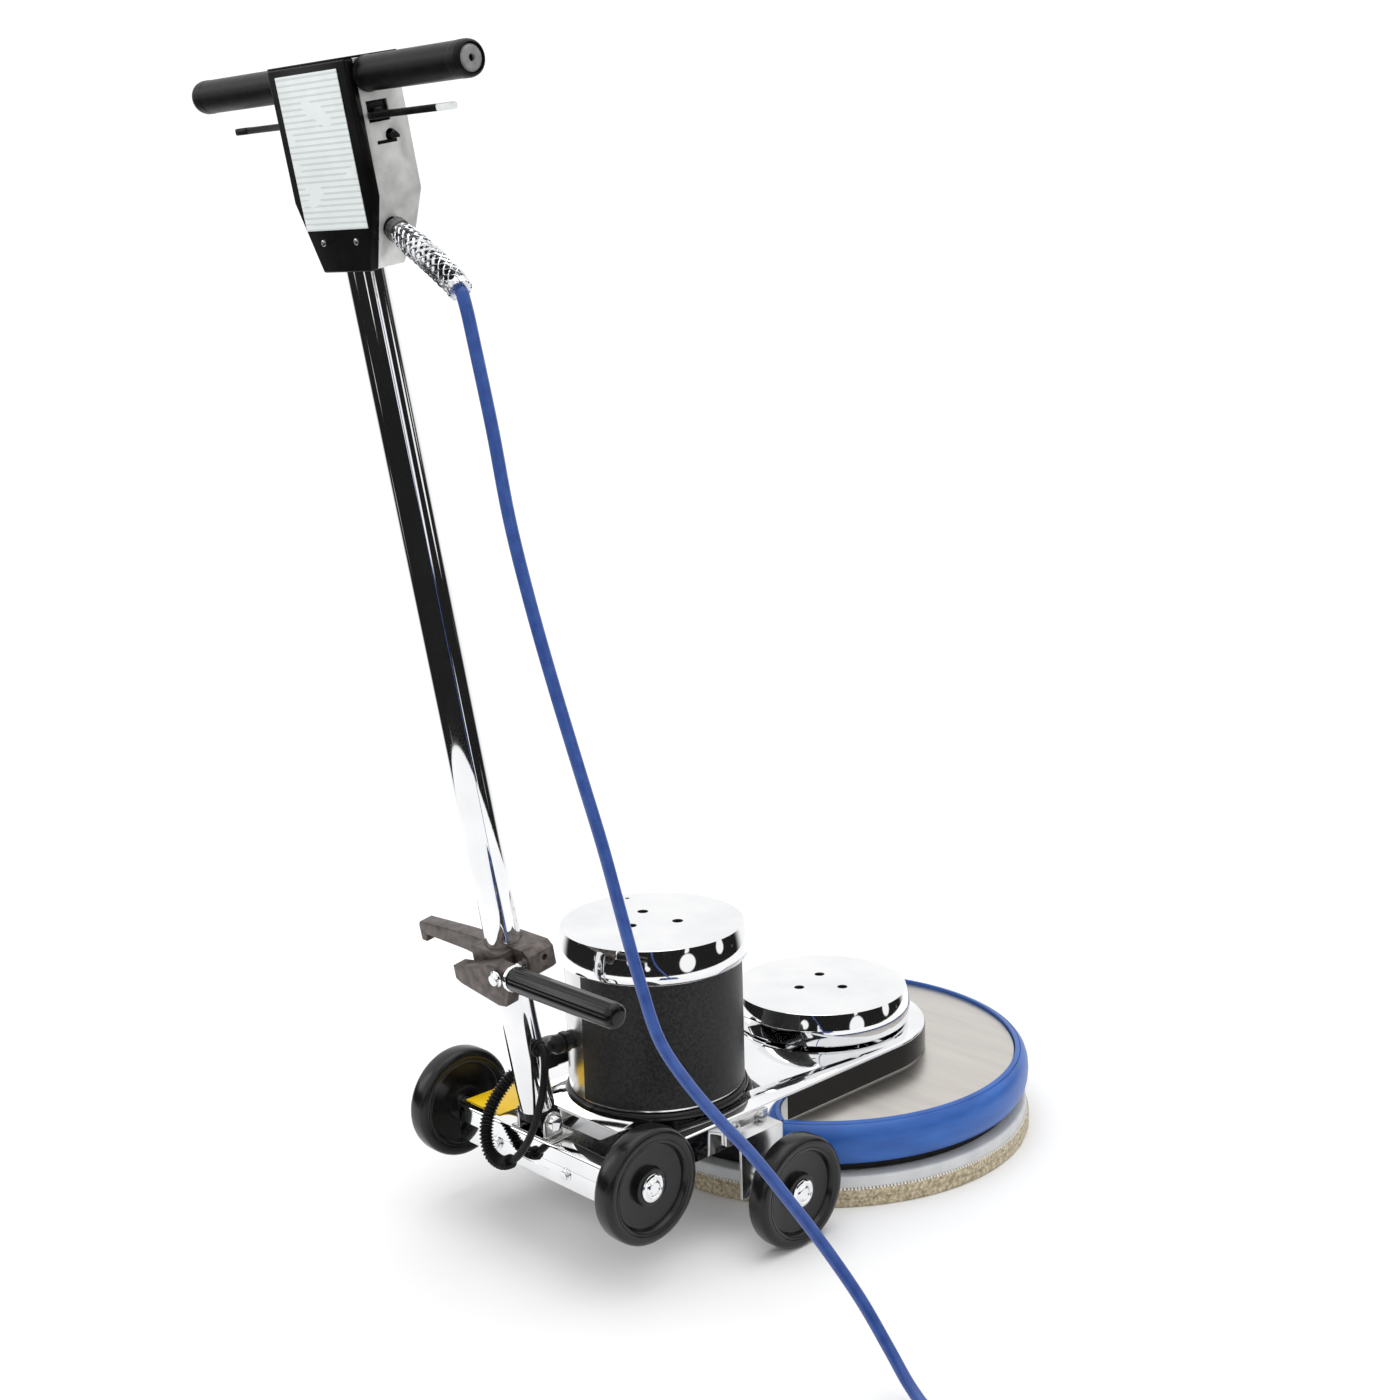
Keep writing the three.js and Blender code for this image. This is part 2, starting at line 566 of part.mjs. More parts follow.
function addHead() {
  const { bottom, top, halfWidth, footHalfWidth, back, front } = HEAD;
  const wall = 2;
  const holes = [
    bar(TUBE.radius + GAP, bottom - 5, bottom + 30, 24),
    barAlongX(CROSSBAR.radius + GAP, -70, 70).translate(0, 0, CROSSBAR.height),
    block([-70, -6, TRIGGER.height - 7.5], [70, 17, TRIGGER.height + 11]),
    barAlongX(6, 50, 70, 16).translate(0, BUTTON.depth, BUTTON.height),
    barAlongX(9, 30, 70).translate(0, GLAND.depth, GLAND.height),
  ];
  const outer = headBlock(halfWidth, footHalfWidth, back, front, bottom, top);
  const hollow = headBlock(
    halfWidth - wall, footHalfWidth - wall, back - 1, front - wall, bottom + wall, top - wall,
  );
  piece('head_housing', shaped([outer], [hollow, ...holes]), 'chrome', handle);

  const coverSide = [
    [back - GAP, bottom - 1], [back - GAP, top + 1], [COVER_FACE + 2, top + 1], [COVER_FACE, top - 1],
    [COVER_FACE, bottom - 1],
  ];
  const coverOuter = solid(acrossX(coverSide, -70, 70)).intersect(
    solid(acrossY(headFront(halfWidth + 2, footHalfWidth + 2, bottom - 1, top + 1), COVER_FACE - 2, back)),
  );
  const coverHollow = solid(acrossY(
    headFront(halfWidth - 1, footHalfWidth - 1, bottom + 2, top - 2), COVER_FACE + 1.8, back + 2,
  ));
  const barHole = solid(barAlongX(CROSSBAR.radius + GAP, -70, 70).translate(0, 0, CROSSBAR.height));
  const tubeHole = solid(bar(TUBE.radius + GAP, bottom - 6, TUBE.end + 2, 24));
  const visor = solid(block([-halfWidth - 2, back - 1, top + GAP], [halfWidth + 2, front + 1, top + 2.5]));
  const gripRooms = [1, -1].map((side) => {
    const room = barAlongX(GRIP.radius + GAP, GRIP.inner - GAP, 80, 20).translate(0, 0, CROSSBAR.height);
    return solid(side < 0 ? room.rotateZ(Math.PI) : room);
  });
  const cover = coverOuter.add(visor).subtract(coverHollow).subtract(barHole).subtract(tubeHole)
    .subtract(gripRooms[0]).subtract(gripRooms[1]);
  piece('head_cover', geometryOf(cover), 'blackMetal', handle);
  const label = block([-49, COVER_FACE - 1.3, bottom + 38], [49, COVER_FACE - GAP, top - 6]);
  piece('head_label', label, 'label', handle);

  const bars = ring(10.5, CROSSBAR.radius, -CROSSBAR.halfLength, CROSSBAR.halfLength, 24)
    .rotateY(Math.PI / 2).translate(0, 0, CROSSBAR.height);
  piece('crossbar', bars, 'darkSteel', handle);
  piece('switch_body', block([22, -8, 1000], [45, 26, 1036]), 'blackPlastic', handle);
}

function addGrips() {
  const { radius, inner, outer } = GRIP;
  const bore = CROSSBAR.radius + GAP;
  for (const [side, name] of [[1, 'right'], [-1, 'left']]) {
    const grip = turnedAlongX([
      [bore, inner], [radius, inner], [radius, outer - 5], [radius - 3, outer - 1], [radius - 6, outer],
      [bore, outer - 2], [bore, inner],
    ], 20);
    const plug = turnedAlongX([
      [3, CROSSBAR.halfLength + GAP], [12, CROSSBAR.halfLength + GAP], [12, outer - 3], [9, outer],
      [3, outer], [3, CROSSBAR.halfLength + GAP],
    ], 16);
    for (const shape of [grip, plug]) {
      if (side < 0) shape.rotateZ(Math.PI);
      shape.translate(0, 0, CROSSBAR.height);
    }
    piece(`grip_${name}`, grip, 'blackRubber', handle);
    piece(`end_plug_${name}`, plug, 'driver', handle);

    const { pivotX, height, depth, reach } = TRIGGER;
    const plate = new THREE.Shape([
      [pivotX, depth - 12], [pivotX + 9, depth - 12], [pivotX + 20, depth - 4], [reach, depth - 4],
      [reach, depth + 4], [pivotX + 24, depth + 4], [pivotX + 8, depth + 11], [pivotX, depth + 11],
    ].map(([x, y]) => new THREE.Vector2(x, y)));
    const lever = shaped([
      block([pivotX - 12, depth - 5, height - 5], [pivotX + 2, depth + 5, height + 5]),
      raised(plate, height - 5, height + 1.5),
    ]);
    if (side < 0) lever.rotateZ(Math.PI).translate(0, 2 * depth, 0);
    piece(`trigger_${name}`, lever, 'blackPlastic', handle);
  }
  const { depth, height } = BUTTON;
  const button = turnedAlongX([[0, 50], [5, 50], [5, 65], [3.5, 67], [0, 67]], 16).translate(0, depth, height);
  piece('lockout_button', button, 'blackPlastic', handle);
}

// ---------------------------------------------------------------- mains cord
/** A tapered sleeve along a smooth line: rings of points joined by faces. */
function sleeveAlong(points, radii, sides, steps) {
  const path = new THREE.CatmullRomCurve3(points.map((p) => new THREE.Vector3(...p)));
  const frames = path.computeFrenetFrames(steps, false);
  const positions = [];
  for (let i = 0; i <= steps; i += 1) {
    const at = path.getPointAt(i / steps);
    const radius = THREE.MathUtils.lerp(radii[0], radii[1], i / steps);
    for (let j = 0; j < sides; j += 1) {
      const angle = (2 * Math.PI * j) / sides;
      const out = frames.normals[i].clone().multiplyScalar(Math.cos(angle))
        .addScaledVector(frames.binormals[i], Math.sin(angle));
      positions.push(...at.clone().addScaledVector(out, radius).toArray());
    }
  }
  const faces = [];
  for (let i = 0; i < steps; i += 1) {
    for (let j = 0; j < sides; j += 1) {
      const k = (j + 1) % sides;
      const [a, b, c, d] = [i * sides + j, i * sides + k, (i + 1) * sides + k, (i + 1) * sides + j];
      faces.push(a, b, c, a, c, d);
    }
  }
  for (let j = 1; j < sides - 1; j += 1) {
    const last = steps * sides;
    faces.push(0, j + 1, j, last, last + j, last + j + 1);
  }
  const geometry = new THREE.BufferGeometry();
  geometry.setAttribute('position', new THREE.Float32BufferAttribute(positions, 3));
  geometry.setIndex(faces);
  geometry.setAttribute('normal', new THREE.Float32BufferAttribute(new Array(positions.length).fill(0), 3));
  return geometry;
}

function addCord() {
  const gland = turnedAlongX([[0, -10], [6.5, -10], [6.5, 3], [11.5, 3], [11.5, 11], [9.5, 14], [0, 14]], 12)
    .rotateY(THREE.MathUtils.degToRad(26)).translate(GLAND.x, GLAND.depth, GLAND.height);
  piece('cord_gland', gland, 'darkSteel', handle);
  const grip = sleeveAlong([
    [66, -403.1, 1070.3], [80, -405.2, 1064], [95.2, -406.6, 1057.3], [120.6, -408.4, 1044.5],
    [142.7, -410.3, 1031.9], [150, -410.9, 1027], [155.2, -411.2, 1022.9],
  ], [10.5, 11], 10, 10);
  piece('cord_grip', grip, 'mesh');

  piece('mains_cord', alongLine(CORD_ROUTE, CORD_RADIUS, 8, 44), 'cord');
  const { innerRadius, outerRadius, height, x, y } = COIL;
  piece('cord_coil', ring(innerRadius, outerRadius, 0, height, 28), 'cord', machine, [x, y, 0]);

  const plugBody = turnedAlongX([
    [0, -34], [7.5, -34], [9, -10], [17, -4], [18.5, 4], [18.5, 26], [16, 28], [0, 28],
  ], 20);
  const prong = (z) => block([26, -3.2, z - 0.8], [46, 3.2, z + 0.8]);
  const earth = barAlongX(2.4, 26, 50, 10).translate(0, 7.5, 0);
  const plug = shaped([plugBody, prong(6.4), prong(-6.4), earth]).rotateZ(Math.PI);
  const ringMiddle = (innerRadius + outerRadius) / 2;
  piece('plug', plug, 'blackPlastic', machine, [x, y - ringMiddle, height + 18.5 + GAP]);
}

addDeck();
addShroud();
addSpindle();
addDrive();
addMotor();
addWheels();
addSideBrackets();
addPivot();
addTube();
addClamp();
addLever();
addHead();
addGrips();
addCord();

export default machine;
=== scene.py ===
"""Looks of a high-speed floor burnisher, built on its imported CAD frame.

Metres, +Z up, +Y the way it travels, +X the operator's right. Everything is placed from the frame:
the CAD nodes give positions and sizes, and each piece here rides on one of its bodies.
"""
import math

import bmesh
import bpy
from mathutils import Matrix, Vector, noise


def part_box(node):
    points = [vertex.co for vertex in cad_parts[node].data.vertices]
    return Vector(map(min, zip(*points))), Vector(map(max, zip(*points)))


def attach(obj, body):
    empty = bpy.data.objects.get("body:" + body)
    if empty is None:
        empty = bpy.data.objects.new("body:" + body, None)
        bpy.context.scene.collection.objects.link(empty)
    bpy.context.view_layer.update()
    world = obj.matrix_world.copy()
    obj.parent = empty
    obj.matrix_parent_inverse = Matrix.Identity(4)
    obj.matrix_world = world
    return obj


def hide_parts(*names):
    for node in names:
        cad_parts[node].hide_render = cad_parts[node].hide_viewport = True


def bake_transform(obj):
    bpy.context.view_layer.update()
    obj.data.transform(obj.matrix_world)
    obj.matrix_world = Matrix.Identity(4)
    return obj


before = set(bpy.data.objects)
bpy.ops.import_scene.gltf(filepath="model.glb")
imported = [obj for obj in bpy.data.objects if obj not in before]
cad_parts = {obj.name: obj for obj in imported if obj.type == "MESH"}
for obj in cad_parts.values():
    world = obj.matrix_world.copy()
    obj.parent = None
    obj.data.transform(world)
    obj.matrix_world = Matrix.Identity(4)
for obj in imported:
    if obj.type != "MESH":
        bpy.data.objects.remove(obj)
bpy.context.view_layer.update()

MM = 0.001

# ------------------------------------------------------------------ places read from the frame
PAD_LOW, PAD_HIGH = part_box("floor_pad")
SPINDLE = Vector(((PAD_LOW.x + PAD_HIGH.x) / 2, (PAD_LOW.y + PAD_HIGH.y) / 2, 0))
SHELL_LOW, SHELL_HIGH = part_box("motor_shell")
MOTOR = Vector(((SHELL_LOW.x + SHELL_HIGH.x) / 2, (SHELL_LOW.y + SHELL_HIGH.y) / 2, 0))
PIN_LOW, PIN_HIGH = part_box("pivot_pin")
PIVOT = (PIN_LOW + PIN_HIGH) / 2
LEAN = math.radians(9.9)
HANDLE = Matrix.Translation(PIVOT) @ Matrix.Rotation(LEAN, 4, "X")  # its own frame, Z up the tube

CAMERA_AT = Vector((1.5662, -1.4837, 1.0374))
CAMERA_AZIMUTH, CAMERA_PITCH, CAMERA_ROLL = (math.radians(v) for v in (46.3, 12.4, -1.6))
CAMERA_LENS = 50.93
ROOM_LIGHT = 1.08
DARKEST = 0.015  # how bright the dark side of the room is

# ------------------------------------------------------------------ materials
def node_of(tree, kind, place, **values):
    """A shader node with its settings and input values."""
    node = tree.nodes.new(kind)
    node.location = place
    for name, value in values.items():
        if name in node.inputs:
            node.inputs[name].default_value = value
        else:
            setattr(node, name, value)
    return node


def maths(tree, operation, first, second, place):
    """A Math node's output. Each of its two operands is a number or another node's output."""
    node = node_of(tree, "ShaderNodeMath", place, operation=operation)
    for socket, value in zip(node.inputs, (first, second)):
        if isinstance(value, bpy.types.NodeSocket):
            tree.links.new(value, socket)
        else:
            socket.default_value = value
    return node.outputs[0]


def finish(
    name, dark, light, rough, metallic=0.0, scale=40.0, stretch=(1, 1, 1), bump=0.0, bump_scale=400.0,
    coat=0.0, specular=0.5, detail=4.0, sheen=0.0,
):
    """A material whose colour and roughness vary with one noise and whose grain comes from a finer one.

    rough is (least, most). scale is the broad noise, stretch its three axes, and bump the grain's depth."""
    mat = bpy.data.materials.new(name)
    mat.use_nodes = True
    tree = mat.node_tree
    tree.nodes.clear()
    out = node_of(tree, "ShaderNodeOutputMaterial", (900, 0))
    shader = node_of(tree, "ShaderNodeBsdfPrincipled", (600, 0))
    shader.inputs["Metallic"].default_value = metallic
    shader.inputs["Specular IOR Level"].default_value = specular
    shader.inputs["Coat Weight"].default_value = coat
    shader.inputs["Coat Roughness"].default_value = 0.08
    shader.inputs["Sheen Weight"].default_value = sheen
    tree.links.new(shader.outputs[0], out.inputs[0])

    place = node_of(tree, "ShaderNodeTexCoord", (-900, 0))
    mapping = node_of(tree, "ShaderNodeMapping", (-700, 0))
    mapping.inputs["Scale"].default_value = stretch
    tree.links.new(place.outputs["Object"], mapping.inputs["Vector"])

    broad = node_of(tree, "ShaderNodeTexNoise", (-450, 150))
    broad.inputs["Scale"].default_value = scale
    broad.inputs["Detail"].default_value = detail
    tree.links.new(mapping.outputs[0], broad.inputs["Vector"])
    ramp = node_of(tree, "ShaderNodeValToRGB", (-200, 150))
    ramp.color_ramp.elements[0].position = 0.3
    ramp.color_ramp.elements[0].color = (*dark, 1)
    ramp.color_ramp.elements[1].position = 0.7
    ramp.color_ramp.elements[1].color = (*light, 1)
    tree.links.new(broad.outputs[0], ramp.inputs[0])
    tree.links.new(ramp.outputs[0], shader.inputs["Base Color"])

    spread = node_of(tree, "ShaderNodeMapRange", (-200, -120))
    spread.inputs["To Min"].default_value = rough[0]
    spread.inputs["To Max"].default_value = rough[1]
    tree.links.new(broad.outputs[0], spread.inputs["Value"])
    tree.links.new(spread.outputs[0], shader.inputs["Roughness"])

    if bump:
        fine = node_of(tree, "ShaderNodeTexNoise", (-450, -350))
        fine.inputs["Scale"].default_value = bump_scale
        fine.inputs["Detail"].default_value = 5.0
        tree.links.new(mapping.outputs[0], fine.inputs["Vector"])
        grain = node_of(tree, "ShaderNodeBump", (200, -300))
        grain.inputs["Strength"].default_value = bump
        grain.inputs["Distance"].default_value = 0.0006
        tree.links.new(fine.outputs[0], grain.inputs["Height"])
        tree.links.new(grain.outputs[0], shader.inputs["Normal"])
    return mat


INK_SHARE = 0.36  # of each line's pitch
INK_STRENGTH = 0.42


def ruled_plate(name, ground, ink, lines_per_metre, axis, frame_at):
    """A pale plate with faint ruled lines across it, and no lettering."""
    mat = finish(name, tuple(0.94 * v for v in ground), ground, (0.35, 0.5), scale=60, bump=0.05)
    tree = mat.node_tree
    shader = next(n for n in tree.nodes if n.type == "BSDF_PRINCIPLED")
    old = shader.inputs["Base Color"].links[0].from_socket
    place = node_of(tree, "ShaderNodeTexCoord", (-900, 500))
    turn = node_of(tree, "ShaderNodeMapping", (-700, 500))
    turn.inputs["Rotation"].default_value = (-frame_at, 0, 0)
    split = node_of(tree, "ShaderNodeSeparateXYZ", (-500, 500))
    tree.links.new(place.outputs["Object"], turn.inputs["Vector"])
    tree.links.new(turn.outputs[0], split.inputs[0])
    lines = maths(tree, "MULTIPLY", split.outputs[axis], lines_per_metre, (-300, 500))
    part = maths(tree, "FRACT", lines, 0.0, (-150, 500))
    mark = maths(tree, "LESS_THAN", part, INK_SHARE, (0, 500))
    # some stretches of the lines are left out
    long = node_of(tree, "ShaderNodeMapping", (-500, 700))
    long.inputs["Scale"].default_value = (0.32, 1, 1)
    tree.links.new(turn.outputs[0], long.inputs["Vector"])
    broken = node_of(tree, "ShaderNodeTexNoise", (-300, 700))
    broken.inputs["Scale"].default_value = 60.0
    tree.links.new(long.outputs[0], broken.inputs["Vector"])
    some = maths(tree, "GREATER_THAN", broken.outputs[0], 0.4, (-100, 700))
    both = maths(tree, "MULTIPLY", mark, some, (100, 600))
    faint = maths(tree, "MULTIPLY", both, INK_STRENGTH, (250, 600))
    mix = node_of(tree, "ShaderNodeMix", (400, 350), data_type="RGBA")
    mix.inputs[7].default_value = (*ink, 1)
    tree.links.new(faint, mix.inputs[0])
    tree.links.new(old, mix.inputs[6])
    tree.links.new(mix.outputs[2], shader.inputs["Base Color"])
    return mat


def grey(value):
    return (value, value, value)


def make_materials():
    return {
        "chrome": finish(
            "chrome", (0.78, 0.79, 0.8), (0.9, 0.9, 0.91), (0.02, 0.07), 1.0, 14, bump=0.015,
            bump_scale=90,
        ),
        "satin": finish(
            "satin_chrome", (0.6, 0.6, 0.6), (0.82, 0.82, 0.82), (0.16, 0.28), 1.0, 20, bump=0.03,
            bump_scale=90,
        ),
        "nickel": finish(
            "nickel", (0.5, 0.5, 0.49), (0.74, 0.73, 0.71), (0.16, 0.36), 1.0, 45, bump=0.08,
            bump_scale=300,
        ),
        "shroud": finish(
            "brushed_shroud", (0.52, 0.49, 0.46), (0.6, 0.57, 0.53), (0.26, 0.36), 1.0, 5,
            stretch=(1, 12, 1), bump=0.03, bump_scale=60,
        ),
        "dark_steel": finish("dark_steel", grey(0.12), grey(0.22), (0.35, 0.55), 0.9, 60, bump=0.1),
        "blue": finish(
            "blue_bumper", (0.014, 0.075, 0.31), (0.024, 0.115, 0.41), (0.3, 0.42), 0, 18,
            stretch=(1, 1, 4), bump=0.05, bump_scale=500, specular=0.4,
        ),
        "cord": finish(
            "cord_jacket", (0.016, 0.052, 0.23), (0.028, 0.08, 0.3), (0.26, 0.4), 0, 80, bump=0.06,
            bump_scale=900,
        ),
        "pad": finish(
            "pad_fibre", (0.19, 0.145, 0.08), (0.62, 0.54, 0.38), (0.85, 1.0), 0, 260, bump=0.9,
            bump_scale=700, sheen=0.2, detail=8,
        ),
        "driver": finish(
            "pad_driver", (0.5, 0.51, 0.52), (0.6, 0.61, 0.61), (0.4, 0.55), 0, 30, bump=0.06,
            bump_scale=350,
        ),
        "tuft": finish("tufts", (0.62, 0.6, 0.55), (0.78, 0.76, 0.7), (0.6, 0.8), 0, 300, bump=0.2),
        "black_paint": finish(
            "black_paint", grey(0.0025), grey(0.006), (0.2, 0.34), 0, 25, bump=0.05, bump_scale=260,
            specular=0.14,
        ),
        "black_gloss": finish(
            "black_gloss", grey(0.003), grey(0.006), (0.1, 0.2), 0, 20, bump=0.02, bump_scale=120,
            specular=0.25,
        ),
        "wrap": finish(
            "motor_wrap", grey(0.001), grey(0.022), (0.22, 0.5), 0, 300, bump=0.7, bump_scale=1300,
            detail=7, specular=0.3,
        ),
        "rubber": finish(
            "black_rubber", grey(0.0025), grey(0.007), (0.3, 0.46), 0, 90, bump=0.12, bump_scale=900,
            specular=0.15,
        ),
        "gloss_rubber": finish(
            "gloss_rubber", grey(0.002), grey(0.005), (0.12, 0.24), 0, 60, bump=0.03, bump_scale=500,
            specular=0.3,
        ),
        "zinc": finish(
            "zinc_case", (0.6, 0.6, 0.58), (0.8, 0.8, 0.78), (0.24, 0.44), 0.45, 70, bump=0.12,
            bump_scale=260, detail=8,
        ),
        "tyre": finish(
            "wheel_rubber", grey(0.004), grey(0.009), (0.16, 0.3), 0, 50, bump=0.05, bump_scale=500,
            specular=0.35,
        ),
        "plastic": finish(
            "black_plastic", grey(0.003), grey(0.008), (0.22, 0.4), 0, 70, bump=0.1, bump_scale=800,
            specular=0.22,
        ),
        "grey_plug": finish("grey_plug", grey(0.16), grey(0.27), (0.35, 0.55), 0.2, 120, bump=0.12),
        "clear": finish("pale_tip", (0.66, 0.7, 0.7), (0.82, 0.84, 0.84), (0.12, 0.25), 0, 90, bump=0.04),
        "casting": finish(
            "bare_casting", (0.03, 0.023, 0.021), (0.15, 0.125, 0.115), (0.3, 0.5), 0.55, 85,
            bump=0.7, bump_scale=420, detail=6,
        ),
        "yellow": finish(
            "yellow_plate", (0.82, 0.5, 0.0), (0.9, 0.58, 0.005), (0.32, 0.5), 0, 60,
            bump=0.04,
        ),
        "label": ruled_plate("ruled_label", (0.72, 0.77, 0.76), (0.36, 0.39, 0.4), 186, 2, LEAN),
        "wire": finish(
            "bright_wire", (0.6, 0.61, 0.63), (0.85, 0.86, 0.88), (0.12, 0.26), 1.0, 200,
            bump=0.05,
        ),
        "brass": finish(
            "plug_prongs", (0.6, 0.42, 0.15), (0.78, 0.57, 0.24), (0.2, 0.35), 1.0, 120,
            bump=0.05,
        ),
        "floor": finish("studio_floor", grey(0.86), grey(0.88), (0.75, 0.85), 0, 3),
    }


# ------------------------------------------------------------------ mesh tools
def add_piece(name, bm, mat, body, replaced=(), sharp=35.0):
    """Turns a bmesh into a piece, smooth except at sharp edges, on its body and in place of its CAD nodes.

    A piece that bends between two bodies is given no body here."""
    bmesh.ops.remove_doubles(bm, verts=bm.verts, dist=1e-6)
    bmesh.ops.recalc_face_normals(bm, faces=bm.faces)
    limit = math.radians(sharp)
    for face in bm.faces:
        face.smooth = True
    for edge in bm.edges:
        edge.smooth = len(edge.link_faces) == 2 and edge.calc_face_angle(0) < limit
    mesh = bpy.data.meshes.new(name)
    bm.to_mesh(mesh)
    bm.free()
    obj = bpy.data.objects.new(name, mesh)
    bpy.context.scene.collection.objects.link(obj)
    mesh.materials.append(mat)
    if body:
        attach(obj, body)
    if replaced:
        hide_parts(*([replaced] if isinstance(replaced, str) else replaced))
    return obj


def join(*shapes):
    """Several bmeshes as one."""
    result = bmesh.new()
    for shape in shapes:
        mesh = bpy.data.meshes.new("part")
        shape.to_mesh(mesh)
        shape.free()
        result.from_mesh(mesh)
        bpy.data.meshes.remove(mesh)
    return result


def moved(bm, matrix):
    bmesh.ops.transform(bm, matrix=matrix, verts=bm.verts)
    return bm


def bridge(bm, rings):
    """Faces between each closed ring of vertices and the next."""
    for low, high in zip(rings, rings[1:]):
        count = len(low)
        for k in range(count):
            n = (k + 1) % count
            bm.faces.new((low[k], low[n], high[n], high[k]))


def shifted(x, y, z):
    return Matrix.Translation(Vector((x, y, z)))


def outward(side):
    """The turn that takes Z out to the right for side 1, or to the left for side -1."""
    return TURN_Z_TO["X" if side > 0 else "-X"]


# the turn that takes a shape's Z axis to each of these
TURN_Z_TO = {
    "Z": Matrix.Identity(4),
    "X": Matrix.Rotation(math.pi / 2, 4, "Y"),
    "Y": Matrix.Rotation(-math.pi / 2, 4, "X"),
    "-X": Matrix.Rotation(-math.pi / 2, 4, "Y"),
    "-Y": Matrix.Rotation(math.pi / 2, 4, "X"),
}


def eased(profile, radius, steps=3, closed=True):
    """A profile with each corner rounded: points [a, b] with arcs no longer than the sides allow."""
    result = []
    count = len(profile)
    for i, point in enumerate(profile):
        here = Vector(point)
        if not closed and i in (0, count - 1):
            result.append(here)
            continue
        before, after = Vector(profile[i - 1]), Vector(profile[(i + 1) % count])
        to_before, to_after = before - here, after - here
        if to_before.length < 1e-9 or to_after.length < 1e-9:
            result.append(here)
            continue
        reach = min(radius, 0.45 * to_before.length, 0.45 * to_after.length)
        a = here + to_before.normalized() * reach
        b = here + to_after.normalized() * reach
        for k in range(steps + 1):
            t = k / steps
            result.append(a * (1 - t) ** 2 + here * 2 * t * (1 - t) + b * t ** 2)
    return result


def lathe(profile, segments=96, ease=0.0, axis="Z", at=(0, 0, 0), closed=False, arc=None):
    """A profile of [radius, height] points in millimetres turned about an axis. Radius 0 closes it."""
    points = eased(profile, ease, closed=closed) if ease else [Vector(p) for p in profile]
    bm = bmesh.new()
    full = arc is None
    start, sweep = (0.0, 2 * math.pi) if full else arc
    count = segments if full else segments + 1
    rings = []
    for radius, height in points:
        if radius < 1e-6:
            rings.append([bm.verts.new((0, 0, height * MM))])
            continue
        ring = []
        for k in range(count):
            angle = start + sweep * k / segments
            x, y = radius * MM * math.cos(angle), radius * MM * math.sin(angle)
            ring.append(bm.verts.new((x, y, height * MM)))
        rings.append(ring)
    pairs = list(zip(rings, rings[1:] + rings[:1] if closed else rings[1:]))
    for low, high in pairs:
        for k in range(segments):
            n = (k + 1) % count
            if len(low) == 1 and len(high) == 1:
                continue
            if len(low) == 1:
                bm.faces.new((low[0], high[n], high[k]))
            elif len(high) == 1:
                bm.faces.new((low[k], low[n], high[0]))
            else:
                bm.faces.new((low[k], low[n], high[n], high[k]))
    if not full and closed:
        bm.faces.new([ring[0] for ring in rings])
        bm.faces.new([ring[-1] for ring in reversed(rings)])
    return moved(bm, Matrix.Translation(Vector(at)) @ TURN_Z_TO[axis])


def tube(points, radius, sides=12, flat=1.0):
    """A tube through points in metres, closed at both ends and flattened by flat.

    radius is one number or a function of the share of the way along."""
    bm = bmesh.new()
    points = [Vector(p) for p in points]
    lengths = [0.0]
    for a, b in zip(points, points[1:]):
        lengths.append(lengths[-1] + (b - a).length)
    normal = None
    rings = []
    for i, point in enumerate(points):
        ahead = points[min(i + 1, len(points) - 1)] - points[max(i - 1, 0)]
        ahead.normalize()
        if normal is None:
            normal = ahead.orthogonal().normalized()
        normal = (normal - ahead * normal.dot(ahead)).normalized()
        side = ahead.cross(normal)
        r = radius(lengths[i] / lengths[-1]) if callable(radius) else radius
        ring = []
        for k in range(sides):
            angle = 2 * math.pi * k / sides
            off = normal * r * math.cos(angle) + side * r * flat * math.sin(angle)
            ring.append(bm.verts.new(point + off))
        rings.append(ring)
    bridge(bm, rings)
    bm.faces.new(list(reversed(rings[0])))
    bm.faces.new(rings[-1])
    return bm


def smooth_line(points, per_span=8):
    """Points on a centripetal Catmull-Rom curve, the way the CAD draws its routes."""
    pts = [Vector(p) for p in points]
    pts = [pts[0] * 2 - pts[1], *pts, pts[-1] * 2 - pts[-2]]
    line = []
    for p0, p1, p2, p3 in zip(pts, pts[1:], pts[2:], pts[3:]):
        t0 = 0.0
        t1 = t0 + math.sqrt((p1 - p0).length)
        t2 = t1 + math.sqrt((p2 - p1).length)
        t3 = t2 + math.sqrt((p3 - p2).length)
        for k in range(per_span):
            t = t1 + (t2 - t1) * k / per_span
            a1 = p0 * ((t1 - t) / (t1 - t0)) + p1 * ((t - t0) / (t1 - t0))
            a2 = p1 * ((t2 - t) / (t2 - t1)) + p2 * ((t - t1) / (t2 - t1))
            a3 = p2 * ((t3 - t) / (t3 - t2)) + p3 * ((t - t2) / (t3 - t2))
            b1 = a1 * ((t2 - t) / (t2 - t0)) + a2 * ((t - t0) / (t2 - t0))
            b2 = a2 * ((t3 - t) / (t3 - t1)) + a3 * ((t - t1) / (t3 - t1))
            line.append(b1 * ((t2 - t) / (t2 - t1)) + b2 * ((t - t1) / (t2 - t1)))
    line.append(pts[-2])
    return line


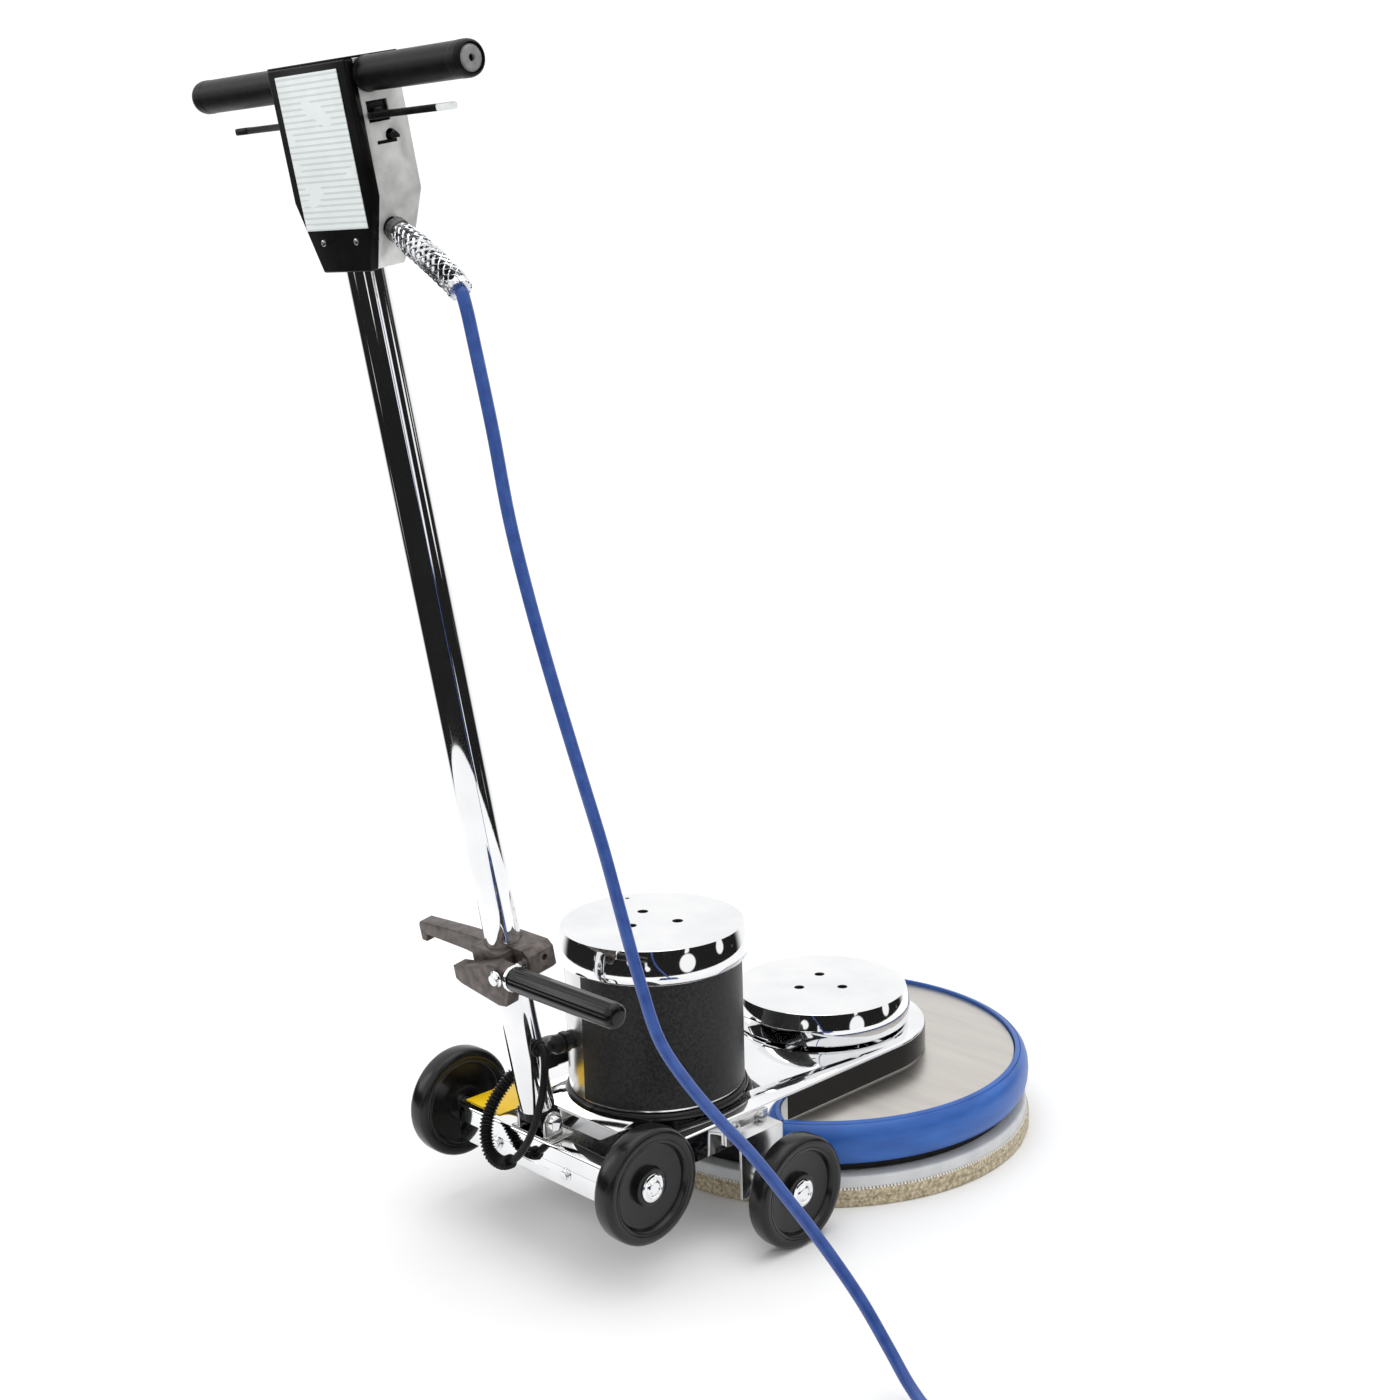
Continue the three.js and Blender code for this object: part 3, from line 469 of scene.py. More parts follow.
def slab(outline, low, high, bevel=0.0, segments=3):
    """An outline of [x, y] points in millimetres raised from low to high, its edges rounded by bevel."""
    bm = bmesh.new()
    verts = [bm.verts.new((x * MM, y * MM, low * MM)) for x, y in outline]
    face = bm.faces.new(verts)
    grown = bmesh.ops.extrude_face_region(bm, geom=[face])
    top = [v for v in grown["geom"] if isinstance(v, bmesh.types.BMVert)]
    bmesh.ops.translate(bm, vec=(0, 0, (high - low) * MM), verts=top)
    bmesh.ops.recalc_face_normals(bm, faces=bm.faces)
    if bevel:
        round_edges(bm, bevel, segments)
    return bm


def round_edges(bm, width, segments=3, over=25.0):
    """Bevels every edge sharper than an angle. Width is in millimetres."""
    limit = math.radians(over)
    edges = [e for e in bm.edges if len(e.link_faces) == 2 and e.calc_face_angle(0) > limit]
    bmesh.ops.bevel(
        bm, geom=edges, offset=width * MM, offset_type="OFFSET", segments=segments, profile=0.5,
        affect="EDGES", clamp_overlap=True,
    )
    return bm


def box_shape(low, high, bevel=1.0, segments=3):
    """A rounded block between two corners in millimetres."""
    outline = [(low[0], low[1]), (high[0], low[1]), (high[0], high[1]), (low[0], high[1])]
    return slab(outline, low[2], high[2], bevel, segments)


def eased_node(node, width, segments=3, over=25.0):
    """A CAD node's own shape with its flat faces joined and its edges rounded."""
    bm = bmesh.new()
    bm.from_mesh(bpy.data.objects[node].data)
    bmesh.ops.remove_doubles(bm, verts=bm.verts, dist=1e-6)
    bmesh.ops.dissolve_limit(bm, angle_limit=math.radians(1.0), verts=bm.verts, edges=bm.edges)
    return round_edges(bm, width, segments, over)


def cut(obj, *cutters):
    """Takes closed shapes out of a piece."""
    for shape in cutters:
        mesh = bpy.data.meshes.new("cutter")
        bmesh.ops.recalc_face_normals(shape, faces=shape.faces)
        shape.to_mesh(mesh)
        shape.free()
        tool = bpy.data.objects.new("cutter", mesh)
        bpy.context.scene.collection.objects.link(tool)
        change = obj.modifiers.new("cut", "BOOLEAN")
        change.operation = "DIFFERENCE"
        change.object = tool
        change.solver = "EXACT"
        bpy.context.view_layer.update()
        graph = bpy.context.evaluated_depsgraph_get()
        result = bpy.data.meshes.new_from_object(obj.evaluated_get(graph))
        obj.modifiers.remove(change)
        obj.data = result
        bpy.data.objects.remove(tool)
    return obj


def hexagon(radius):
    return [(radius * math.cos(math.pi * k / 3), radius * math.sin(math.pi * k / 3)) for k in range(6)]


def bolt_head(radius, height, at, axis="Z", flip=False):
    """A hexagon head on a round washer."""
    rim, thick = radius * 1.35, height * 0.3
    washer = lathe([[0, 0], [rim, 0], [rim, thick], [0, thick]], 40, 0.4)
    head = slab(hexagon(radius), thick, height, 0.5, 2)
    shape = join(washer, head)
    if flip:
        moved(shape, Matrix.Rotation(math.pi, 4, "X"))
    return moved(shape, Matrix.Translation(Vector(at)) @ TURN_Z_TO[axis])


def dome_screw(radius, height, at, axis="Z"):
    """A round-headed screw with a cross recess."""
    profile = [[0, 0], [radius, 0], [radius * 0.93, height * 0.5], [radius * 0.6, height * 0.9], [0, height]]
    shape = lathe(profile, 28)
    long, narrow = radius * 0.55, radius * 0.1
    slots = []
    for x, y in ((long, narrow), (narrow, long)):
        slots.append(slab([(-x, -y), (x, -y), (x, y), (-x, y)], height * 0.93, height * 1.04))
    shape = join(shape, *slots)
    return moved(shape, Matrix.Translation(Vector(at)) @ TURN_Z_TO[axis])


# ------------------------------------------------------------------ camera, light and floor
def set_up_camera():
    a, p, r = CAMERA_AZIMUTH, CAMERA_PITCH, CAMERA_ROLL
    ahead = Vector((-math.sin(a) * math.cos(p), math.cos(a) * math.cos(p), -math.sin(p)))
    right = Vector((math.cos(a), math.sin(a), 0))
    up = right.cross(ahead)
    side = right * math.cos(r) + up * math.sin(r)
    top = up * math.cos(r) - right * math.sin(r)
    data = bpy.data.cameras.new("camera")
    data.lens = CAMERA_LENS
    data.sensor_width = 36.0
    data.clip_end = 100
    camera = bpy.data.objects.new("camera", data)
    matrix = Matrix((side, top, -ahead)).transposed().to_4x4()
    camera.matrix_world = Matrix.Translation(CAMERA_AT) @ matrix
    bpy.context.scene.collection.objects.link(camera)
    bpy.context.scene.camera = camera


def add_light(name, at, aim, size, power):
    data = bpy.data.lights.new(name, "AREA")
    data.shape = "RECTANGLE"
    data.size, data.size_y = size
    data.energy = power
    light = bpy.data.objects.new(name, data)
    facing = (Vector(aim) - Vector(at)).to_track_quat("-Z", "Y").to_matrix().to_4x4()
    light.matrix_world = Matrix.Translation(Vector(at)) @ facing
    bpy.context.scene.collection.objects.link(light)


def set_up_studio(mats):
    """A pale round floor and even white light, with two area lights.

    Polished metal mirrors a room that is dark low down on the camera's side, with windows and lamps."""
    bm = bmesh.new()
    bmesh.ops.create_circle(bm, cap_ends=True, segments=96, radius=1.3)
    mesh = bpy.data.meshes.new("studio_floor")
    bm.to_mesh(mesh)
    bm.free()
    floor = bpy.data.objects.new("studio_floor", mesh)
    mesh.materials.append(mats["floor"])
    bpy.context.scene.collection.objects.link(floor)

    world = bpy.data.worlds.new("studio")
    bpy.context.scene.world = world
    world.use_nodes = True
    tree = world.node_tree
    tree.nodes.clear()
    out = node_of(tree, "ShaderNodeOutputWorld", (1000, 0))
    even = node_of(tree, "ShaderNodeBackground", (500, -150))
    even.inputs["Color"].default_value = (1, 1, 1, 1)
    even.inputs["Strength"].default_value = ROOM_LIGHT
    room = node_of(tree, "ShaderNodeBackground", (500, 0))
    mix = node_of(tree, "ShaderNodeMixShader", (800, 0))
    ray = node_of(tree, "ShaderNodeLightPath", (500, 300))
    place = node_of(tree, "ShaderNodeTexCoord", (-900, 0))
    split = node_of(tree, "ShaderNodeSeparateXYZ", (-700, -200))
    tree.links.new(place.outputs["Generated"], split.inputs[0])
    height = split.outputs[2]

    def toward(direction, place_at):
        """How far a ray points along a direction, from -1 to 1."""
        node = node_of(tree, "ShaderNodeVectorMath", place_at, operation="DOT_PRODUCT")
        node.inputs[1].default_value = direction
        tree.links.new(place.outputs["Generated"], node.inputs[0])
        return node.outputs["Value"]

    def eased_step(value, zero_at, one_at, place_at):
        node = node_of(tree, "ShaderNodeMapRange", place_at, interpolation_type="SMOOTHSTEP")
        node.inputs["From Min"].default_value = zero_at
        node.inputs["From Max"].default_value = one_at
        tree.links.new(value, node.inputs["Value"])
        return node.outputs[0]

    camera_side = (math.sin(CAMERA_AZIMUTH), -math.cos(CAMERA_AZIMUTH), 0)
    behind = eased_step(toward(camera_side, (-700, 100)), -0.72, -0.45, (-450, 100))
    low = eased_step(height, 0.27, 0.23, (-450, -200))
    dark = maths(tree, "MULTIPLY", behind, low, (-200, 0))
    # lamps of the dark room: a few soft bright patches
    spots = node_of(tree, "ShaderNodeTexNoise", (-450, -450))
    spots.inputs["Scale"].default_value = 3.4
    spots.inputs["Detail"].default_value = 1.0
    tree.links.new(place.outputs["Generated"], spots.inputs["Vector"])
    lit = eased_step(spots.outputs[0], 0.7, 0.73, (-200, -450))
    # its windows, each a round patch: degrees round from the camera's side, degrees up, and half its width
    for turn, rise, reach, place_y in (
        (42, -3, 9, -700), (-64, -2, 6, -900), (-24, 2, 4, -1100), (88, 0, 5, -1300),
    ):
        azimuth = math.radians(turn) - (math.pi / 2 - CAMERA_AZIMUTH)
        aim = Vector((math.cos(azimuth), math.sin(azimuth), math.tan(math.radians(rise)))).normalized()
        outer, inner = (math.cos(math.radians(half_width)) for half_width in (reach + 1.5, reach))
        window = eased_step(toward(aim, (-450, place_y)), outer, inner, (-250, place_y))
        lit = maths(tree, "MAXIMUM", lit, window, (0, place_y))
    unlit = maths(tree, "MULTIPLY", dark, maths(tree, "SUBTRACT", 1.0, lit, (0, -300)), (150, -100))
    drop = maths(tree, "MULTIPLY", unlit, ROOM_LIGHT - DARKEST, (300, -100))
    level = maths(tree, "SUBTRACT", ROOM_LIGHT, drop, (350, 100))
    tree.links.new(level, room.inputs["Color"])
    tree.links.new(ray.outputs["Is Glossy Ray"], mix.inputs[0])
    tree.links.new(even.outputs[0], mix.inputs[1])
    tree.links.new(room.outputs[0], mix.inputs[2])
    tree.links.new(mix.outputs[0], out.inputs[0])

    add_light("overhead", (0.3, 0.1, 3.2), (0.1, 0.0, 0), (3.0, 3.0), 34)
    add_light("side_left", (-2.6, -2.2, 1.9), (0, 0, 0.5), (0.9, 2.2), 10)
    bpy.context.scene.view_settings.view_transform = "Standard"


# ------------------------------------------------------------------ mains cord
CORD_DIAMETER = 0.012
CORD_LENGTH = 15.24
CORD_ROUTE = [(x * MM, y * MM, z * MM) for x, y, z in (
    (159.4, -411.5, 1019.4), (162.2, -409, 1002), (163.5, -404.5, 976), (172, -395.5, 900),
    (180.5, -388, 820), (191, -378, 747), (204, -366.5, 673), (219, -352.5, 592), (233, -339, 516),
    (243.5, -330, 455), (257, -321, 387),
    (274, -313, 328), (301, -303.5, 290), (331, -293, 259), (359, -282, 232), (392, -265.5, 189),
    (417, -250.5, 151), (447, -230, 96), (471, -217.5, 49), (493, -215, 20), (518, -219.5, 7.5),
    (548, -226.5, 6.2), (608, -238.7, 6.2),
)]
COIL_TURNS_WIDE = 5
COIL_LAYERS = 4
TURN_POINTS = 24
SHORTEST_RISE = 2.2  # radians round the coil
TIE_HALF_WIDTH = 0.006
TIE_THICKNESS = 0.0014
TIE_POINTS = 40


def step_up(x):
    x = min(max(x, 0.0), 1.0)
    return x * x * (3 - 2 * x)


def coil_line():
    """The wound cord's middle line, layer by layer from the route's end, and the coil's centre."""
    low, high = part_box("cord_coil")
    centre = (low + high) / 2
    pitch = CORD_DIAMETER
    outer = (high.x - low.x) / 2 - CORD_DIAMETER / 2
    start = Vector(CORD_ROUTE[-1]) - centre
    start.z = 0
    tangent = math.sqrt(start.length ** 2 - outer ** 2)
    join_angle = math.atan2(start.y, start.x) - math.atan2(tangent, outer)
    points = []
    radii = []
    for layer in range(COIL_LAYERS):
        turns = list(range(COIL_TURNS_WIDE))
        if layer % 2:
            turns.reverse()
        radii += [(outer - pitch * k, layer) for k in turns]
    step = 2 * math.pi / TURN_POINTS
    for i in range(len(radii) * TURN_POINTS):
        turn, share = divmod(i, TURN_POINTS)
        share /= TURN_POINTS
        radius, layer = radii[turn]
        after, next_layer = radii[min(turn + 1, len(radii) - 1)]
        r = radius + (after - radius) * step_up((share - 0.72) / 0.28)
        z = layer + (next_layer - layer) * step_up((share - 0.42) / 0.3)
        angle = join_angle - i * step
        point = centre + Vector((r * math.cos(angle), r * math.sin(angle), 0))
        point.z = low.z + CORD_DIAMETER / 2 + 0.0002 + z * pitch
        points.append(point)
    return points, centre


def plug_entry():
    """Where the cord goes into the plug."""
    low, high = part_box("plug")
    return Vector((high.x, (low.y + high.y) / 2, (low.z + high.z) / 2))


def polyline_length(points):
    return sum((Vector(b) - Vector(a)).length for a, b in zip(points, points[1:]))


def cord_line():
    """The cord's middle line at its real length: free stretch, wound turns and rise to the plug."""
    route = smooth_line(CORD_ROUTE, 6)
    entry = plug_entry()
    wound, centre = coil_line()
    top = entry - centre
    end_angle = math.atan2(top.y, top.x)
    end_radius = math.hypot(top.x, top.y)

    def whole(count):
        """The line with a given number of wound points, then the rise on to the plug."""
        kept = wound[:count]
        last = kept[-1] - centre
        angle = math.atan2(last.y, last.x)
        sweep = (angle - end_angle) % (2 * math.pi)
        if sweep < SHORTEST_RISE:
            sweep += 2 * math.pi
        steps = max(8, int(sweep / (2 * math.pi) * TURN_POINTS))
        first_radius = math.hypot(last.x, last.y)
        rise = []
        for k in range(1, steps + 1):
            share = k / steps
            turn = angle - sweep * share
            r = first_radius + (end_radius - first_radius) * step_up(share * 1.15)
            low_z = kept[-1].z
            top_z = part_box("cord_coil")[1].z + CORD_DIAMETER / 2 + 0.0003
            z = low_z + (top_z - low_z) * step_up(share / 0.45)
            z += (entry.z - top_z) * step_up((share - 0.72) / 0.28)
            rise.append(Vector((centre.x + r * math.cos(turn), centre.y + r * math.sin(turn), z)))
        return [*route, *kept, *rise]

    count = len(wound)
    while count > TURN_POINTS and polyline_length(whole(count)) > CORD_LENGTH:
        count -= 1
    return whole(count)


def coil_ties(mats):
    """Two flat straps round the coil's section, opposite each other."""
    low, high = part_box("cord_coil")
    centre = (low + high) / 2
    middle = (high.x - low.x) / 2 - (high.z - low.z) / 2 - 0.006
    half_width = COIL_TURNS_WIDE * CORD_DIAMETER / 2 + 0.0022
    half_height = (high.z - low.z) / 2
    loop = []
    for k in range(TIE_POINTS):
        angle = 2 * math.pi * k / TIE_POINTS
        c, s = math.cos(angle), math.sin(angle)
        across = half_width * math.copysign(abs(c) ** 0.35, c)
        rise_z = (half_height + 0.0012) * math.copysign(abs(s) ** 0.35, s)
        loop.append((across, rise_z))
    ties = []
    for turn in (math.radians(20), math.radians(200)):
        bm = bmesh.new()
        rows = []
        for side in (-TIE_HALF_WIDTH, TIE_HALF_WIDTH):
            for thick in (0.0, TIE_THICKNESS):
                row = []
                for across, rise_z in loop:
                    r = middle + across * (1 + thick / half_width)
                    z = max(centre.z + rise_z * (1 + thick / half_height), 0.0003)
                    place = Matrix.Rotation(turn, 3, "Z") @ Vector((r, side, z))
                    row.append(bm.verts.new(place + Vector((centre.x, centre.y, 0))))
                rows.append(row)
        inner_a, outer_a, inner_b, outer_b = rows
        bridge(bm, [inner_a, outer_a, outer_b, inner_b, inner_a])
        ties.append(bm)
    return add_piece("coil_tie", join(*ties), mats["rubber"], "chassis", ())

def mains_plug(mats):
    """The plug's ribbed body and its three prongs."""
    body = lathe([
        [0, 0], [7.2, 0], [7.6, 3], [8, 8], [8.6, 20], [10, 26],
        [16.5, 30], [18.2, 36], [18.2, 58], [17, 62], [0, 62],
    ], 56, 1.2)
    ribs = []
    for z in (4, 9, 14):
        ribs.append(lathe([[7.4, z], [8.9, z + 0.6], [8.9, z + 2.4], [7.4, z + 3]], 40, closed=True))
    for z in (40, 44, 48, 52):
        ribs.append(lathe([[17.8, z], [18.45, z + 0.5], [18.45, z + 1.6], [17.8, z + 2.1]], 56, closed=True))
    turn = Matrix.Translation(plug_entry()) @ TURN_Z_TO["-X"]
    shape = moved(join(body, *ribs), turn)
    plug = add_piece("plug_body", shape, mats["rubber"], "chassis", "plug")
    blades = [box_shape((-7.2, side - 0.8, 62), (-0.8, side + 0.8, 80), 0.35, 2) for side in (-6.4, 6.4)]
    earth = lathe([[0, 62], [2.3, 62], [2.3, 80], [1.4, 83], [0, 84]], 20, 0.4, at=(0.0075, 0, 0))
    shape = moved(join(*blades, earth), turn)
    prongs = add_piece("plug_prongs", shape, mats["brass"], "chassis", ())
    return plug, prongs

def build_cord(mats):
    line = cord_line()
    cord = add_piece(
        "mains_cord_jacket", tube(line, CORD_DIAMETER / 2, 12), mats["cord"], None,
        ("mains_cord", "cord_coil"),
    )
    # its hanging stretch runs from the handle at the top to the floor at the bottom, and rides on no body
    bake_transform(cord)

    tie = coil_ties(mats)
    plug, prongs = mains_plug(mats)


# ------------------------------------------------------------------ base
def build_deck(mats):
    low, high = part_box("deck_channel")
    half = high.x / MM
    rear = low.y / MM
    nose_y = SPINDLE.y / MM
    top = high.z / MM
    side_low = 95.0
    rear_low = low.z / MM

    steps = 56

    def outline(inset):
        r = half - inset
        points = [(-r, rear + inset), (r, rear + inset)]
        for k in range(steps + 1):
            angle = math.pi * k / steps
            points.append((r * math.cos(angle), nose_y + r * math.sin(angle)))
        return points

    def loop_at(inset, z):
        return [bm.verts.new((x * MM, y * MM, z * MM)) for x, y in outline(inset)]

    bm = bmesh.new()
    bend = 3.2
    wall = 4
    loops = [loop_at(0, side_low)]
    for degrees in (0, 22, 45, 68, 90):
        a = math.radians(degrees)
        loops.append(loop_at(bend * (1 - math.cos(a)), top - bend + bend * math.sin(a)))
    inner_low = loop_at(wall, side_low)
    inner_top = loop_at(wall, top - wall)
    bridge(bm, [inner_top, inner_low, *loops])
    bm.faces.new(loops[-1])
    bm.faces.new(list(reversed(inner_top)))
    deck = add_piece("deck_plate", bm, mats["chrome"], "chassis", "deck_channel", 40)
    # the slot behind the motor
    cut(deck, box_shape((-64, -214, top - 10), (64, -186, top + 5), 2.5))
    for polygon in deck.data.polygons:
        polygon.use_smooth = True

    apron = box_shape((0.2 - half, rear - 0.1, rear_low), (half - 0.2, rear + 3, side_low + 14), 1.0)
    shelf = box_shape((-30, rear - 0.5, 96), (30, rear + 0.4, 99), 0.3)
    bolts = [bolt_head(5.4, 4.6, (x, (rear - 0.1) * MM, 0.102), "Y", True) for x in (-0.058, 0.058)]
    add_piece("deck_apron", join(apron, shelf, *bolts), mats["chrome"], "chassis", ())

    # the black band along both sides and round the nose: a thin black sheet over the chrome, a painted dark
    # reflection
    bm = bmesh.new()
    band_rear = 10.5
    path = [(-half, band_rear + (nose_y - band_rear) * k / 12) for k in range(12)]
    for k in range(steps + 1):
        angle = math.pi * (1 - k / steps)
        path.append((half * math.cos(angle), nose_y + half * math.sin(angle)))
    path += [(half, nose_y + (band_rear - nose_y) * k / 12) for k in range(1, 13)]
    rows = []
    for i, (x, y) in enumerate(path):
        before, after = Vector(path[max(i - 1, 0)]), Vector(path[min(i + 1, len(path) - 1)])
        along = (after - before).normalized()
        out = Vector((-along.y, along.x))
        ring = []
        for depth, z in (
            (0.05, side_low + 0.6), (0.5, side_low + 1.0), (0.5, top - 4.4), (0.05, top - 4.0),
        ):
            ring.append(bm.verts.new(((x + out.x * depth) * MM, (y + out.y * depth) * MM, z * MM)))
        rows.append(ring)
    bridge(bm, rows)
    bm.faces.new(rows[0])
    bm.faces.new(list(reversed(rows[-1])))
    add_piece("deck_side_band", bm, mats["black_gloss"], "chassis", ())

    low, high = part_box("deck_label")
    sticker = box_shape([v / MM for v in low], [v / MM for v in high], 0.3, 2)
    add_piece("blank_rating_plate", sticker, mats["yellow"], "chassis", "deck_label")


def build_shroud(mats):
    profile = [[44, 91.9], [232.6, 91.9], [232.6, 60.4], [236, 60.2], [236, 94.4], [44, 94.4]]
    # a black rubber ring in the gap under the bumper: painted shade, standing in for the shadow below the
    # bumper
    shade_ring_profile = [[233.2, 38.2], [236.2, 38.2], [236.4, 60], [233.2, 60]]
    skirt = lathe(shade_ring_profile, 160, 0.4, at=SPINDLE, closed=True)
    add_piece("dust_skirt", skirt, mats["rubber"], "chassis", ())
    plate = lathe(profile, 160, 1.6, at=SPINDLE, closed=True)
    add_piece("shroud_plate", plate, mats["shroud"], "chassis", "shroud_disc")
    inner = 236.6
    section = [
        [inner, 50], [239, 48.8], [243, 48.6], [247, 50.8], [250.2, 56.4], [251.9, 64], [252.5, 73],
        [251.8, 82], [249.4, 89.6], [245.8, 94.6], [243.4, 96.1], [242.6, 95.5], [241.8, 96.9],
        [239.4, 97.9], [inner, 98],
    ]
    # the ring is open behind, between the deck's two sides
    opening_half_width, ring_middle = 131, 245
    wedge = math.asin(opening_half_width / ring_middle)
    arc = (-math.pi / 2 + wedge, 2 * math.pi - 2 * wedge)
    bumper = lathe(section, 220, at=SPINDLE, closed=True, arc=arc)
    add_piece("bumper", bumper, mats["blue"], "chassis", "bumper_ring")


def build_pad(mats):
    bm = lathe([
        [47, 0.4], [140, 0.3], [252, 0.2], [253.4, 1.6], [253.7, 4], [253.7, 7], [253.6, 9.8],
        [252.9, 10.4], [253.6, 11], [253.7, 14], [253.7, 17], [253.2, 19.8], [252, 20.7],
        [140, 20.8], [47, 20.8],
    ], 420, at=SPINDLE, closed=True)
    for vert in bm.verts:
        out = Vector((vert.co.x - SPINDLE.x, vert.co.y - SPINDLE.y, 0))
        if out.length > 0.2:
            shift = noise.noise(vert.co * 900) * 0.0006 + noise.noise(vert.co * 260) * 0.0005
            vert.co += out.normalized() * (shift - 0.0004)
            vert.co.z = max(vert.co.z, 0.0002)
    pad = add_piece("burnishing_pad", bm, mats["pad"], "spindle_body", "floor_pad", 80)

    profile = [
        [0, 34.2], [39.6, 34.2], [46, 21.5], [249, 21.5], [250, 22.3], [250, 32.6], [249.2, 34.8],
        [247, 35.5], [60, 39.8], [30, 47.6], [0, 47.6],
    ]
    driver = lathe(profile, 160, 0.8, at=SPINDLE)
    add_piece("driver_disc", driver, mats["driver"], "spindle_body", "pad_driver")
    tufts = bmesh.new()
    count = 380
    for k in range(count):
        angle = 2 * math.pi * k / count
        spread = 2 * math.pi / count * 0.28
        corners = []
        for z, r in ((19.6, 252.2), (22.6, 251.0)):
            for a, extra in ((-spread, -2.2), (spread, -2.2), (spread, 0), (-spread, 0)):
                reach = (r + extra) * MM
                x = SPINDLE.x + reach * math.cos(angle + a)
                y = SPINDLE.y + reach * math.sin(angle + a)
                corners.append(tufts.verts.new((x, y, z * MM)))
        for face in ((3, 2, 1, 0), (4, 5, 6, 7), (0, 1, 5, 4), (1, 2, 6, 5), (2, 3, 7, 6), (3, 0, 4, 7)):
            tufts.faces.new([corners[i] for i in face])
    add_piece("driver_tufts", tufts, mats["tuft"], "spindle_body", ())


def dome(radius, bottom, top, height, last, skirt):
    """A pressed cap's profile: a flat crown, a crisp shoulder, a bulging band, a skirt and a lip.

    The band's outward lean falls from 17 degrees at the shoulder to last degrees at its foot."""
    first, last = math.radians(17), math.radians(last)
    curve = height / (math.sin(first) - math.sin(last))
    edge = radius - curve * (math.cos(last) - math.cos(first))
    points = [
        [0, top], [edge * 0.5, top - 0.2], [edge - 6, top - 0.7], [edge - 2.2, top - 1.1],
        [edge - 0.7, top - 1.7],
    ]
    foot = top - 2.0 - height
    for k in range(11):
        a = first + (last - first) * k / 10
        reach = radius - curve * (math.cos(last) - math.cos(a))
        points.append([reach, foot + curve * (math.sin(a) - math.sin(last))])
    points += [
        [radius - 0.1, foot - skirt], [radius - 1.4, bottom + 2.6], [radius - 3, bottom + 0.8],
        [radius - 5, bottom], [radius - 7.6, bottom + 0.6], [radius - 6, bottom + 5],
        [edge - 6, top - 12], [edge - 12, top - 4.5], [0, top - 4],
    ]
    return points


def build_caps(mats):
    for name, node, centre, height, last, skirt, angles in (
        ("motor_crown", "motor_cap", MOTOR, 30, 1.5, 1.5, (157, 31, -92)),
        ("spindle_crown", "spindle_cap", SPINDLE, 20, 8, 9, (135, 15, -107)),
    ):
        low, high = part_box(node)
        radius, top = (high.x - low.x) / 2 / MM, high.z / MM
        profile = dome(radius - 0.2, low.z / MM + 0.1, top, height, last, skirt)
        crown = add_piece(name, lathe(profile, 144, at=centre), mats["chrome"], "chassis", node, 24)
        marks = [(30, degrees, 6.3) for degrees in angles]
        if name == "motor_crown":
            marks.append((84, 157, 2.6))
        holes, wells = [], []
        for reach, degrees, r in marks:
            a = math.radians(degrees)
            at = centre + Vector((reach * MM * math.cos(a), reach * MM * math.sin(a), 0))
            holes.append(lathe([[0, top - 14], [r, top - 14], [r, top + 4], [0, top + 4]], 28, at=at))
            wells.append(lathe([
                [0, top - 7], [r - 0.05, top - 7], [r - 0.05, top - 0.9], [r - 0.8, top - 1.2],
                [r - 1, top - 2.6], [0, top - 2.8],
            ], 28, at=at))
        cut(crown, *holes)
        add_piece(name + "_wells", join(*wells), mats["black_paint"], "chassis", ())


def build_motor(mats):
    bottom, top = SHELL_LOW.z / MM, SHELL_HIGH.z / MM
    shell = lathe([
        [95, bottom + 0.2], [99.2, bottom + 0.2], [99.4, bottom + 3], [99.4, top - 1.4], [98.6, top - 0.2],
        [30, top - 0.2], [30, top - 3.6], [95, top - 3.6],
    ], 144, 0.5, at=MOTOR, closed=True)
    add_piece("motor_can", shell, mats["satin"], "chassis", "motor_shell")
    first, sweep = math.radians(-95.6), math.radians(322)
    section = [[99.5, bottom + 3], [99.95, bottom + 3], [99.95, top - 1.6], [99.5, top - 1.6]]
    wrap = lathe(section, 150, at=MOTOR, closed=True, arc=(first, sweep))
    add_piece("motor_wrap", wrap, mats["wrap"], "chassis", ())
    low, high = (corner.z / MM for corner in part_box("motor_base_plate"))
    base = lathe([
        [27, low], [103.6, low], [103.8, low + 5], [101.4, high - 0.2], [27, high - 0.2],
    ], 128, 1.2, at=MOTOR, closed=True)
    add_piece("motor_foot_ring", base, mats["black_gloss"], "chassis", "motor_base_plate")
    low, high = (corner.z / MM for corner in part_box("spindle_housing"))
    housing = lathe([
        [26.3, low], [65.8, low], [65.8, low + 7], [62, low + 11], [48, low + 13],
        [43, low + 20], [42, high - 0.2], [26.3, high - 0.2],
    ], 96, 1.5, at=SPINDLE, closed=True)
    add_piece("bearing_housing", housing, mats["chrome"], "chassis", "spindle_housing")


# ------------------------------------------------------------------ motor lead
LEAD_ROUTE = [(x * MM, y * MM, z * MM) for x, y, z in (
    (22.9, -257, 236), (27, -257.2, 235.6), (34, -260, 226), (38, -266, 200), (34, -271, 172),
    (25, -274, 146), (10, -275, 122), (-8, -276, 104), (-28, -277, 95), (-46, -277, 100),
    (-56, -274, 118), (-59, -266, 140), (-57, -250, 162), (-52, -230, 180), (-44, -210, 193),
    (-38.2, -199, 198.8),
)]


